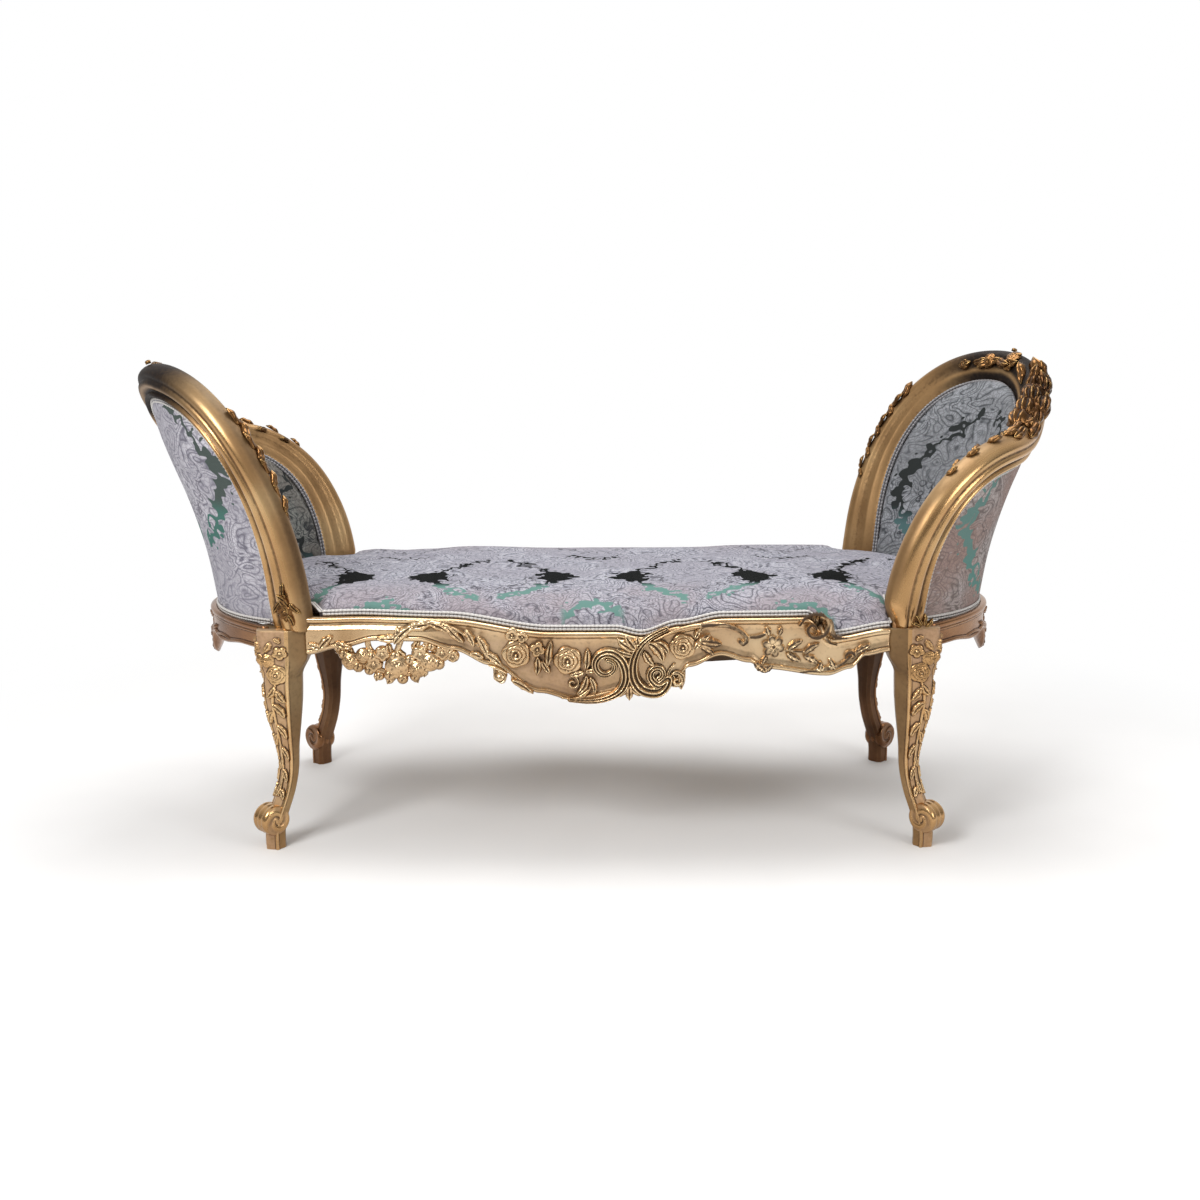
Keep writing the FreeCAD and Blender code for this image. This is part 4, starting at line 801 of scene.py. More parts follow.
frontRail = present("frontRail", [longRail()], litGilt, ["front_rail"])
turned("backRail", frontRail, ["back_rail"])
sprays = present("frontSprays", [carvedRun(-505, -174, 270, 84),
                                 carvedRun(170, 486, 270, 104, over=36)],
                 litGilt, ["front_carving"])
scrolls = present("frontScrolls", [carvedRun(-190, 178, 480, 170)], litGilt,
                  ["front_carving"])
turned("backSprays", sprays, ["back_carving"])
turned("backScrolls", scrolls, ["back_carving"])
print("long rails made")


# legs: the front right one is shaped, on the corner line that points out of the bench
legShape = {
    # height, x, depth and half width; then the section in half widths
    "path": [(0, 585, 238, 17), (24, 585, 238, 17), (60, 579, 235, 17), (92, 568, 229, 16.5),
             (122, 560, 224, 15.8), (150, 556, 222, 15.8), (182, 556, 222.3, 17.5),
             (215, 557.5, 224, 22.5), (250, 559, 225.5, 28), (280, 560, 226, 31.5),
             (305, 560, 226, 32.5), (345, 558, 227, 32), (405, 556, 228, 32)],
    "section": [(-0.96, -0.6), (-1.02, 0.3), (-0.98, 0.42), (-0.9, 0.46), (-0.5, 0.78),
                (-0.12, 1.04), (0, 1.08), (0.12, 1.04), (0.5, 0.78), (0.9, 0.46), (0.98, 0.42),
                (1.02, 0.3), (0.96, -0.6), (0.6, -0.94), (0, -1.0), (-0.6, -0.94)],
    "block": (508, 598, 200, 258),          # inner, outer, back and face of the squared top
    "top": 405,
}
legPath = throughPoints(legShape["path"], 400)
outwardWay, sideWay = np.array([0.7071, -0.7071, 0.0]), np.array([0.7071, 0.7071, 0.0])


def outlineReach(points):
    # radius of a closed outline as a function of the angle about its middle
    ring = evenly(np.array(points + points[:1], float), 400)
    angle = np.arctan2(ring[:, 1], ring[:, 0])
    order = np.argsort(angle)
    angle, reach = angle[order], np.hypot(ring[:, 0], ring[:, 1])[order]
    return lambda turn: np.interp(turn, angle, reach, period=2 * math.pi)


legReach = outlineReach(legShape["section"])


def blockReach(cx, cy, turn):
    # radius of the squared block at the top, in the corner line's own angle
    inner, outer, back, face = legShape["block"]
    way = sideWay[None, :] * np.cos(turn)[:, None] + outwardWay[None, :] * np.sin(turn)[:, None]
    toX = np.where(way[:, 0] > 0, outer - cx, cx - inner) / np.maximum(np.abs(way[:, 0]), 1e-3)
    toY = np.where(way[:, 1] < 0, face - cy, cy - back) / np.maximum(np.abs(way[:, 1]), 1e-3)
    power = np.where((way[:, 0] > 0) & (way[:, 1] < 0), 4.5, 16)
    return (toX ** -power + toY ** -power) ** (-1 / power)


# carving on each of the two outer faces: across from the corner line (0) to the edge bead (42)
legCarving = {
    "blossoms": [(30, 366, 13, 7, 5)],
    "roses": [(9, 352, 13, 8), (23, 326, 19, 9)],
    "leaves": [((14, 386), (4, 368), 12, 6, 0.2), ((20, 392), (30, 384), 10, 6, 0.2),
               ((20, 304), (5, 284), 15, 7, 0.2), ((24, 298), (37, 276), 15, 7, -0.2),
               ((14, 272), (33, 246), 18, 7, 0.2), ((12, 258), (2, 234), 15, 7, -0.2),
               ((14, 232), (32, 204), 18, 6, 0.2), ((12, 214), (2, 190), 15, 6, -0.2),
               ((14, 188), (31, 162), 17, 6, 0.2), ((12, 168), (2, 146), 14, 5, 0.1),
               ((14, 146), (30, 122), 16, 6, 0.1), ((12, 122), (4, 98), 15, 6, 0.1),
               ((16, 110), (32, 92), 15, 6, 0.1)],
    "scrolls": [([(20, 306), (14, 280), (13, 255), (13, 225), (12, 195), (12, 165), (13, 135),
                  (13, 100)], 5, 4, (1, 1, 1))],
}


def legSweep():
    def place(u, v):
        z = legShape["top"] * u
        cx, cy, half = (np.interp(z, legPath[:, 0], legPath[:, i]) for i in (1, 2, 3))
        turn = (v * 2 * math.pi) - math.pi
        toBlock = ease((z - 318) / 42)
        reach = legReach(turn) * half * (1 - toBlock) + blockReach(cx, cy, turn) * toBlock
        a, o = reach * np.cos(turn), reach * np.sin(turn)
        outside = ease((o - 0.36 * half) / (0.2 * half) + 0.5) * (np.abs(a) < half * 1.05)
        # a bead runs down each edge of the carved faces
        bead = reach * np.minimum(np.abs(turn - math.atan2(0.38, 1.0)),
                                  np.abs(turn - math.atan2(0.38, -1.0)))
        beadRise = 2.4 * roll(bead, 0, 3.4) * (1 - ease((z - 330) / 30))
        forms = carved(legCarving, np.abs(a) * 42 / half, z) * outside * ease((z - 84) / 10)
        sunk = -1.2 * outside * (bead > 3.4)
        r = reach + np.maximum(np.maximum(forms, beadRise), sunk)
        wash = outside * (forms < 0.4) * (bead > 3.2) * (0.75 + 0.25 * toBlock)
        # painted shade on the plain inner faces, deeper higher up
        paintedShade = 0.62 * (1 - outside) * (bead > 3.4) * (0.6 + 0.4 * ease((z - 60) / 200))
        spots = np.stack([cx, -cy, z], axis=1) + sideWay * (r * np.cos(turn))[:, None]
        return spots + outwardWay * (r * np.sin(turn))[:, None], wash, paintedShade

    return laidGrid(350, 190, place)


footShape = {"middle": (585, -238, 55), "out": 6, "radius": 26, "half": 18}


def footScroll():
    # the rolled foot: a spiral on each cheek, reeds round the roll
    centre = np.array(footShape["middle"], float) + outwardWay * footShape["out"]
    radius, half = footShape["radius"], footShape["half"]

    def place(u, v):
        turn = 2 * math.pi * u
        path = v * 4
        r = np.where(path < 1.5, path / 1.5, np.where(path > 2.5, (4 - path) / 1.5, 1)) * radius
        s = np.clip((path - 1.5), 0, 1) * 2 - 1
        cheek = (path < 1.5) | (path > 2.5)
        swirl = np.cos(2.0 * turn + 5.2 * np.log(np.maximum(r, 2) / radius))
        bulge = np.sqrt(np.clip(1 - (r / radius) ** 6, 0, 1)) * (0.675 + 0.325 * swirl) * 3.4
        eye = 3.5 * np.exp(-(r / 5) ** 4)
        along = half * s + np.sign(s) * np.where(cheek, np.maximum(bulge, eye), 0)
        rr = r + np.where(cheek, 0, 1.8 * np.abs(np.cos(1.5 * math.pi * s)))
        spots = centre + sideWay * along[:, None] + outwardWay * (rr * np.cos(turn))[:, None]
        wash = np.where(cheek, 0.5, 0.0) * (swirl < 0)
        return spots + np.array([0, 0, 1.0]) * (rr * np.sin(turn))[:, None], wash

    return laidGrid(64, 44, place)


rightLeg = present("frontRightLeg", [legSweep(), footScroll()], gilt,
                   ["leg_front_right"])
mirrored = rightLeg.data.copy()
mirrored.transform(Matrix.Scale(-1, 4, (1, 0, 0)))
mirrored.flip_normals()
leftLeg = enter("frontLeftLeg", mirrored, ["leg_front_left"])
# the back legs take the darker gilt as painted shade
turned("backLeftLeg", rightLeg, ["leg_back_left"], material=giltDeep)
turned("backRightLeg", leftLeg, ["leg_back_right"], material=giltDeep)
print("legs made")


# the bowed rails between the legs of each end
endShape = {"reach": 727, "bow": 0.0026, "thickness": 30, "lip": 9, "top": 408, "ledge": 404,
            "bottom": 366, "drop": 62, "half": 232}
endMiddle = {"blossoms": [(0, 362, 18, 9, 6)], "leaves": [((0, 350), (0, 310), 14, 9)]}
endMirrored = {      # drawn once for both sides of the middle
    "leaves": [((6, 346), (14, 312), 16, 9, 0.2), ((14, 358), (44, 344), 18, 8, 0.2),
               ((10, 374), (34, 392), 15, 8, 0.2), ((36, 350), (76, 366), 14, 7, 0.2),
               ((66, 362), (98, 378), 11, 6, 0.1)],
    "scrolls": [([(18, 322), (48, 338), (84, 356), (120, 368), (160, 366)], 7, 5)],
}


def endRail():
    front, rest = 44, 10
    lip, deep = endShape["lip"], endShape["thickness"]

    def place(u, v):
        y = (2 * u - 1) * endShape["half"]
        side = np.abs(y)
        face = endShape["reach"] - endShape["bow"] * y * y
        drop = endShape["drop"] * ease(1 - side / 95) + 9 * ease(1 - np.abs(side - 130) / 60)
        top, bottom = endShape["top"] + 0 * y, endShape["bottom"] - drop
        ring = v * (front + rest)
        z = bottom + (top - bottom) * np.clip(ring / front, 0, 1)
        down, up = top - z, z - bottom
        h = np.maximum(5 * roll(down, 5.5, 5.5), 5 * roll(up, 4, 4))
        h = np.maximum(h, 2.2 * roll(down, 14, 2.6))
        h = h - (4 * ease((down - 12) / 8) * ease((up - 4) / 8)
                 * (0.4 + 0.6 * ease((side - 70) / 60)))                   # sunk ground
        forms = np.maximum(carved(endMiddle, y, z), carved(endMirrored, side, z))
        h = np.maximum(h, forms) * ease(up / 2.5) * ease(down / 1.5)
        wash = 0.15 * ease(1 - (side - 50) / 50) * (forms < 0.4) * (up > 6) * (down > 12)
        ledge = endShape["ledge"]
        path = [(0, endShape["top"], 0), (2, endShape["top"], lip), (4, ledge, lip),
                (5, ledge, deep), (8, endShape["bottom"] + 2, deep), (rest, bottom, 0)]
        depth, z = roundBack(ring, front, rest, path, face, face + h, z)
        return np.stack([depth, y, z], axis=1), np.where(ring > front, 0, wash)

    return laidGrid(220, front + rest, place)


rightEndRail = present("rightEndRail", [endRail()], giltDeep, ["right_end_rail"])
turned("leftEndRail", rightEndRail, ["left_end_rail"])
print("end rails made")


# loose carving: leaves, roses and flowers set on a spot with its own directions

def leafLump(spot, tipWay, faceWay, length, width, rise, lift, bend=0.0, steps=22):
    # a leaf of two lobes to a side, which lifts towards its tip
    spot, tipWay, faceWay = (np.array(way, float) for way in (spot, tipWay, faceWay))
    tipWay = unit(tipWay)
    faceWay = unit(unit(faceWay) - tipWay * np.dot(unit(faceWay), tipWay))
    sideways = np.cross(tipWay, faceWay)

    def place(t, v):
        side = np.where(v < 0.7, 2 * v / 0.7 - 1, 1 - 2 * (v - 0.7) / 0.3)
        half = width / 2 * np.sin(math.pi * np.clip(t, 0.004, 0.996) ** 0.8) ** 0.75
        half = half * (1 - 0.22 * np.abs(np.cos(2 * math.pi * t)))
        top = np.sqrt(np.clip(1 - np.abs(side) ** 3, 0, 1)) * (1 - 0.4 * hump(side, 0.18))
        top = top * (1 - 0.12 * np.cos(4 * math.pi * t + 2 * np.abs(side)))
        h = np.where(v < 0.7, rise * top * np.sin(math.pi * np.clip(t, 0.02, 0.98)) ** 0.5, 0)
        h = h + lift * length * t ** 2 - 2
        out = length * (t + 0.1 * np.abs(side) * width / length * np.sin(math.pi * t))
        sway = bend * length * np.sin(math.pi * t)
        spots = spot + tipWay * out[:, None] + sideways * (half * side + sway)[:, None]
        return spots + faceWay * h[:, None]

    return laidGrid(steps, 20, place)


def roundLump(spot, upWay, faceWay, radius, rise, drawing, rings=12, steps=36):
    # a round form with its own drawing, let 3 mm into the wood under it
    spot, upWay, faceWay = (np.array(way, float) for way in (spot, upWay, faceWay))
    faceWay = unit(faceWay)
    upWay = unit(unit(upWay) - faceWay * np.dot(unit(upWay), faceWay))
    sideways = np.cross(upWay, faceWay)

    def place(u, v):
        turn = 2 * math.pi * u
        r = np.where(v < 0.15, v / 0.15, (1 - v) / 0.85) * radius
        p, q = r * np.cos(turn), r * np.sin(turn)
        h = np.where(v < 0.15, -3.0, drawing(p, q, radius, rise))
        return spot + sideways * p[:, None] + upWay * q[:, None] + faceWay * h[:, None]

    return laidGrid(steps, rings, place)


def roseDrawing(p, q, radius, rise):
    dome = 0.25 * (1 - (np.hypot(p, q) / radius) ** 2)
    return roseBud(p, q, 0, 0, radius * 1.02, rise) + rise * dome


def flowerDrawing(p, q, radius, rise):
    return blossom(p, q, 0, 0, radius, rise)


def podDrawing(p, q, radius, rise):
    # a swelling seed pod with four deep flutes that meet at its tip
    p, q = p / radius, q / radius
    flutes = 0.84 + 0.16 * np.cos(4 * math.pi * p / (1.15 - 0.5 * np.abs(q)))
    return flutes * rise * np.clip(1 - np.hypot(1.25 * p, q) ** 2.4, 0, 1) ** 0.5


def budDrawing(p, q, radius, rise):
    # a half-open bud: three petals folded round each other
    fold = 1 - 0.22 * np.exp(-((p - 0.25 * q) / (0.16 * radius)) ** 2) * (q < 0.5 * radius)
    return fold * berryDrawing(p, q, radius, rise)


def berryDrawing(p, q, radius, rise):
    return rise * np.sqrt(np.clip(1 - (np.hypot(p, q) / radius) ** 2, 0, 1))


# the pierced garland under the plain stretch of each long rail
garlandShape = {
    # across, height and radius; for leaves heading, length and width
    "roses": [(-348, 346, 23), (-430, 354, 17), (-291, 355, 18), (-313, 342, 17), (-407, 364, 15)],
    "flowers": [(-390, 350, 17), (-374, 368, 15), (-308, 369, 16), (-269, 372, 15),
                (-251, 366, 12)],
    "leaves": [(-378, 344, 250, 28, 20), (-352, 336, 235, 28, 20), (-326, 338, 300, 26, 18),
               (-404, 352, 225, 26, 18), (-300, 350, 265, 24, 17), (-424, 366, 150, 26, 16),
               (-360, 362, 100, 26, 17), (-322, 372, 60, 26, 17), (-286, 368, 80, 22, 15),
               (-262, 372, 30, 20, 13), (-334, 358, 130, 24, 16)],
    "buds": [(-418, 344, 11), (-392, 362, 11), (-398, 338, 10), (-362, 330, 12), (-340, 324, 11),
             (-326, 358, 11), (-352, 364, 11), (-300, 344, 10), (-276, 352, 12), (-288, 382, 9),
             (-256, 378, 10), (-442, 366, 11), (-452, 378, 9), (-318, 328, 10), (-380, 328, 9)],
    "berries": [(-362, 330, 7), (-340, 326, 7), (-396, 372, 6), (-330, 358, 6), (-419, 349, 6),
                (-300, 382, 6)],
    "behind": 5,                            # how far behind the rail's face it hangs
    "stemWide": 5.5, "stemDeep": 5.0,       # half sizes
    # the festoon that carries it, and three stems that hold it to the rail, with their points
    "stems": [([(-455, 372), (-425, 354), (-385, 340), (-350, 330), (-312, 338), (-275, 356),
                (-247, 372)], 60),
              ([(-340, 396), (-346, 380), (-352, 362), (-352, 336)], 20),
              ([(-296, 392), (-300, 376), (-312, 360)], 14),
              ([(-400, 394), (-398, 378), (-388, 366)], 14)],
}


def garlandStem(line):
    share = np.linspace(0, 1, len(line))

    def along(u, i):
        return np.interp(u, share, line[:, i])

    def place(u, v):
        dx, dz = (along(np.minimum(u + 0.02, 1), i) - along(np.maximum(u - 0.02, 0), i)
                  for i in (0, 1))
        size = np.hypot(dx, dz)
        x, z, turn = along(u, 0), along(u, 1), 2 * math.pi * v
        a, o = garlandShape["stemWide"] * np.cos(turn), garlandShape["stemDeep"] * np.sin(turn)
        return np.stack([x - a * dz / size, -(railFace(x) - 4.5 + o), z + a * dx / size], axis=1)

    return laidGrid(max(12, len(line) // 2), 8, place)


def garlandParts():
    parts = []

    def rounds(kind, drawing, lift, rise, *grid):
        for x, z, radius in garlandShape[kind]:
            spot = (x, -(railFace(x) - garlandShape["behind"] + lift), z)
            parts.append(roundLump(spot, (0, 0, 1), (0, -1, 0), radius, rise or radius, drawing,
                                   *grid))

    rounds("roses", roseDrawing, 3, 11)
    rounds("buds", budDrawing, 0, None, 9, 20)
    rounds("flowers", flowerDrawing, 2, 9)
    for x, z, heading, length, width in garlandShape["leaves"]:
        turn = math.radians(heading)
        spot = (x, -(railFace(x) - garlandShape["behind"] - 1), z)
        parts.append(leafLump(spot, (math.cos(turn), 0, math.sin(turn)), (0, -1, 0), length,
                              width, rise=8, lift=0.12))
    rounds("berries", berryDrawing, 2, None, 8, 16)
    return parts + [garlandStem(throughPoints(*stem)) for stem in garlandShape["stems"]]


frontGarland = present("frontGarland", garlandParts(), litGilt, ["front_garland"])
turned("backGarland", frontGarland, ["back_garland"])
print("garlands made")


# carving on the end frames

def frameSeat(share, around, lift=0.0):
    # a spot on the moulding: around is 0 on its outer face, 90 on the free edge, 180 inside
    middle, across, out = archFrame(np.array([share]))
    half = float(frameHalf(np.array([share]))[0])
    turn = math.radians(around)
    face = out[0] * math.cos(turn) + across[0] * math.sin(turn)
    reach = ((math.cos(turn) / 22) ** 4 + (math.sin(turn) / half) ** 4) ** -0.25
    along = np.cross(across[0], out[0])
    return middle[0] + face * (reach + lift), face, along, np.cross(face, along)


crestShape = {
    # share along the frame, angle around it, length, width, heading (0 up along the frame), rise
    "leaves": [(0.301, 78, 44, 22, 10, 10), (0.316, 128, 46, 22, -15, 9),
               (0.331, 53, 50, 26, 20, 10), (0.351, 103, 54, 28, -10, 12),
               (0.366, 158, 46, 24, 10, 9), (0.371, 68, 58, 30, 25, 13),
               (0.386, 123, 56, 28, -20, 12), (0.401, 88, 62, 34, 15, 14),
               (0.402, 38, 50, 28, 40, 11), (0.407, 143, 54, 28, -30, 12),
               (0.422, 108, 62, 36, 0, 15), (0.432, 63, 58, 30, 30, 13),
               (0.447, 133, 56, 30, -25, 13), (0.457, 93, 62, 34, 10, 15),
               (0.467, 48, 50, 28, 60, 11), (0.477, 168, 46, 26, -20, 10),
               (0.545, 108, 32, 20, 170, 5), (0.56, 150, 40, 22, 165, 8),
               (0.58, 168, 38, 20, 190, 7), (0.545, 168, 38, 22, 200, 8),
               (0.565, 160, 36, 20, 30, 7), (0.60, 165, 34, 18, 185, 7),
               (0.62, 160, 32, 17, 175, 6), (0.452, 23, 42, 24, 90, 9),
               (0.336, 178, 38, 20, 20, 8), (0.356, 196, 34, 18, -10, 7),
               (0.56, 178, 34, 18, 200, 7)],
    # share, angle, radius, rise
    "roses": [(0.394, 106, 20, 15), (0.414, 80, 22, 17), (0.439, 110, 24, 18), (0.467, 78, 21, 16),
              (0.532, 128, 15, 6), (0.572, 158, 15, 9), (0.366, 88, 17, 12)],
    "pods": [(0.372, 128, 25, 21), (0.402, 122, 24, 21), (0.43, 112, 23, 20), (0.455, 84, 22, 19),
             (0.415, 80, 22, 19)],
    "flowers": [(0.535, 165, 13, 8), (0.575, 170, 12, 8), (0.61, 165, 11, 7),
                (0.411, 138, 16, 11)],
    "berries": [(0.410, 118, 8, 12), (0.426, 138, 8, 12), (0.452, 70, 8, 12), (0.552, 80, 6, 4),
                (0.356, 80, 7, 9)],
    "postFlower": [(0.966, 24, 16, 9)],
    # the tall post's spray down its outer edge and the low post's down its inner edge:
    # start, angle, gap, number of leaves, length, width
    "trails": [(0.705, 124, 0.017, 9, 42, 24), (0.31, 124, -0.014, 8, 36, 20)],
    # a sprig fans out at the foot of the low post, over the head of the leg:
    # across, height, heading, length
    "sprig": [(560, 410, 158, 20), (561, 412, 124, 24), (564, 412, 90, 24), (567, 410, 55, 20)],
    "postLeaves": [(0.972, 25, 34, 16, 190, 8), (0.962, 5, 30, 15, 150, 8),
                   (0.958, 40, 30, 15, 215, 8), (0.985, 12, 28, 14, 175, 7),
                   (0.935, 24, 40, 17, 10, 8), (0.95, 8, 30, 14, 320, 7),
                   (0.952, 44, 28, 14, 40, 7), (0.99, 45, 24, 13, 200, 6),
                   (0.92, 30, 30, 12, 355, 6)],
}


def crestParts():
    parts = []

    def leafAt(share, around, length, width, heading, rise, lift=0.18):
        spot, face, along, side = frameSeat(share, around, 0.5)
        turn = math.radians(heading)
        parts.append(leafLump(spot, along * math.cos(turn) + side * math.sin(turn), face, length,
                              width, rise, lift, bend=0.06, steps=16))

    def rounds(kind, drawing, lift, *grid):
        for share, around, radius, rise in crestShape[kind]:
            spot, face, along, _ = frameSeat(share, around, lift)
            parts.append(roundLump(spot, along, face, radius, rise, drawing, *grid))

    for entry in crestShape["leaves"] + crestShape["postLeaves"]:
        leafAt(*entry)
    rounds("roses", roseDrawing, 1)
    rounds("pods", podDrawing, 3, 16, 44)
    rounds("flowers", flowerDrawing, 1)
    rounds("berries", berryDrawing, 4, 8, 16)
    for start, around, gap, count, length, width in crestShape["trails"]:
        for i in range(count):
            shrink, sway = 1 - 0.35 * i / count, (-1) ** i
            leafAt(start + i * gap, around + 11 * sway, length * shrink, width * shrink,
                   (180 if gap > 0 else 0) + 24 * sway, 9 * shrink, 0.03)
    rounds("postFlower", flowerDrawing, 1)
    for x, z, heading, length in crestShape["sprig"]:
        turn = math.radians(heading)
        parts.append(leafLump((x, -268, z), (math.cos(turn), 0, math.sin(turn)), (0.35, -1, 0.2),
                              length, width=10, rise=7, lift=0.1, bend=0.05, steps=14))
    return parts


rightCrest = present("rightCrestCarving", crestParts(), shadedCrestGilt,
                     ["right_crest_carving"])
turned("leftCrestCarving", rightCrest, ["left_crest_carving"])
print("crest carving made")


# upholstery of the bowed backs: height of the foot, and how far it tucks under the frame
panelShape = {"foot": 409, "reach": 0.88}


def panelSpot(u, a):
    # a point of the panel in (depth, height): a climbs both sides of the arch, u crosses it
    middle, across, _ = archFrame(np.clip(a, 0.001, 0.999))
    other, otherAcross, _ = archFrame(np.clip(1 - a, 0.001, 0.999))
    left = middle - across * (frameHalf(a) * panelShape["reach"])[:, None]
    right = other - otherAcross * (frameHalf(1 - a) * panelShape["reach"])[:, None]
    spot = left * (1 - u)[:, None] + right * u[:, None]
    return spot[:, 1], spot[:, 2]


def onBack(y, z, offset):
    normal = backNormal(y, z)
    return np.stack([backReach(y, z), y, z], axis=1) + normal * offset[:, None]


def backPad(middleOffset, face, back):
    # a pad over the panel: face and back give how far out its two sides lie, by height and puff
    def place(u, v):
        ring = v * 2
        across = np.where(ring < 1, ring, 2 - ring)
        y, z = panelSpot(across, 0.5 * u)
        z = np.maximum(z, panelShape["foot"])
        low, high = np.clip(u / 0.02, 0, 1), np.clip((1 - u) / 0.03, 0, 1)
        edge = np.sqrt(np.clip(1 - np.abs(2 * across - 1) ** 36, 0, 1) * low * high)
        puff = (1 - np.abs(2 * across - 1) ** 5) * (1 - u ** 7)
        offset = np.where(ring < 1, face(z, puff), back(z, puff))
        return onBack(y, z, middleOffset + (offset - middleOffset) * edge)

    return laidGrid(72, 92, place)


def spotsOf(mesh):
    spots = np.empty(len(mesh.vertices) * 3, np.float32)
    mesh.vertices.foreach_get("co", spots)
    return spots.reshape(-1, 3)


def puffed(part, voxel, pressure, cap, pinned):
    # stuffing: the form is blown up a little as cloth, by cap at most, held where pinned says
    mesh = bpy.data.meshes.new("puffed")
    part.to_mesh(mesh)
    part.free()
    piece = bpy.data.objects.new("puffed", mesh)
    bpy.context.scene.collection.objects.link(piece)
    bpy.context.view_layer.objects.active = piece
    remesh = piece.modifiers.new("even", "REMESH")
    remesh.mode, remesh.voxel_size = "VOXEL", voxel
    bpy.ops.object.modifier_apply(modifier="even")
    mesh = piece.data
    start = spotsOf(mesh)
    hold = piece.vertex_groups.new(name="hold")
    hold.add([int(i) for i in np.nonzero(pinned(start))[0]], 1.0, "REPLACE")
    cloth = piece.modifiers.new("stuffing", "CLOTH")
    cloth.settings.effector_weights.gravity = 0
    cloth.settings.use_pressure = True
    cloth.settings.uniform_pressure_force = pressure
    cloth.settings.vertex_group_mass = "hold"
    cloth.settings.quality = 5
    for step in range(1, 21):
        bpy.context.scene.frame_set(step)
    shaped = piece.evaluated_get(bpy.context.evaluated_depsgraph_get())
    move = spotsOf(shaped.to_mesh()) - start
    shaped.to_mesh_clear()
    size = np.linalg.norm(move, axis=1, keepdims=True)
    move = move * np.minimum(1, cap / np.maximum(size, 1e-9))
    piece.modifiers.remove(cloth)
    mesh.vertices.foreach_set("co", (start + move).ravel())
    bpy.context.scene.frame_set(1)
    mesh = piece.data.copy()
    bpy.data.objects.remove(piece)
    return mesh


seatDamask = damask("seatDamask", seatLook, "XY", (-0.192, -0.10), 0.5, 0.9)
insideDamask = damask("insideDamask", shadedInsideLook, "YZ", (0.06, 0.60), 0.15)
leftInsideDamask = damask("leftInsideDamask", shadedLeftInsideLook, "YZ", (-0.12, 0.52), 0.4)
outsideDamask = damask("outsideDamask", outsideLook, "YZ", (-0.07, 0.58), 0.75)
leftOutsideDamask = damask("leftOutsideDamask", litLeftOutsideLook, "YZ", (-0.10, 0.68), 0.1)
print("damask made")


insidePad = backPad(-14, lambda z, puff: -20 - 15 * puff, lambda z, puff: -9 + 0 * z)
insidePad = puffed(insidePad, voxel=0.006, pressure=3.0, cap=0.005,
                   pinned=lambda co: co[:, 2] < 0.43)
rightInside = dressed("rightInsideCover", insidePad, insideDamask,
                      ["right_inside_cover", "right_inside_stuffing"], hollows=False)
leftInside = turned("leftInsideCover", rightInside, ["left_inside_cover", "left_inside_stuffing"],
                    leftInsideDamask)
# the outside cover stands out more low down, over the end rail
outsidePad = backPad(6, lambda z, puff: 9 + 3 * puff + 12 * ease((640 - z) / 220) * puff,
                     lambda z, puff: 4 + 0 * z)
rightOutside = present("rightOutsideCover", [outsidePad], outsideDamask,
                       ["right_outside_cover"], hollows=False)
turned("leftOutsideCover", rightOutside, ["left_outside_cover"], leftOutsideDamask)
print("backs upholstered")


# the seat's corners beside the tall post and beside the low post, and its bowed edges
seatShape = {"corner": (480, 249), "post": (484, 238), "notch": (506, 199), "waist": (536, 185),
             "lowCorner": (510, 250), "lowPost": (513, 236), "lowNotch": (510, 199),
             "end": 637, "front": 280,
             "spine": 330,                 # half the level line along the middle of the crown
             "crown": 464, "edge": 409, "byPost": 438,        # heights
             "rounding": 78}               # how far in from the edge the crown is reached


def arcThrough(a, b, c, count):
    (ax, ay), (bx, by), (cx, cy) = a, b, c
    squareA, squareB, squareC = ax ** 2 + ay ** 2, bx ** 2 + by ** 2, cx ** 2 + cy ** 2
    d = 2 * (ax * (by - cy) + bx * (cy - ay) + cx * (ay - by))
    ux = (squareA * (by - cy) + squareB * (cy - ay) + squareC * (ay - by)) / d
    uy = (squareA * (cx - bx) + squareB * (ax - cx) + squareC * (bx - ax)) / d
    turns = np.unwrap([math.atan2(y - uy, x - ux) for x, y in (a, b, c)])
    radius = math.hypot(ax - ux, ay - uy)
    return [(ux + radius * math.cos(t), uy + radius * math.sin(t))
            for t in np.linspace(turns[0], turns[2], count)]


def seatOutline():
    points = []
    (cx, cy), (px, py), (nx, ny), (wx, wy) = (seatShape[spot] for spot in
                                              ("corner", "post", "notch", "waist"))
    for s in (1, -1):
        lowX, lowY = seatShape["lowCorner"]
        points += arcThrough((-s * cx, -s * cy), (0, -s * seatShape["front"]),
                             (s * lowX, -s * lowY), 40)
        points += [(s * x, -s * y) for x, y in (seatShape["lowPost"], seatShape["lowNotch"])]
        points += arcThrough((s * wx, -s * wy), (s * seatShape["end"], 0), (s * wx, s * wy), 24)
        points += [(s * nx, s * ny), (s * px, s * py)]
    return evenly(np.array(points + points[:1]), 401)


seatEdge = seatOutline()


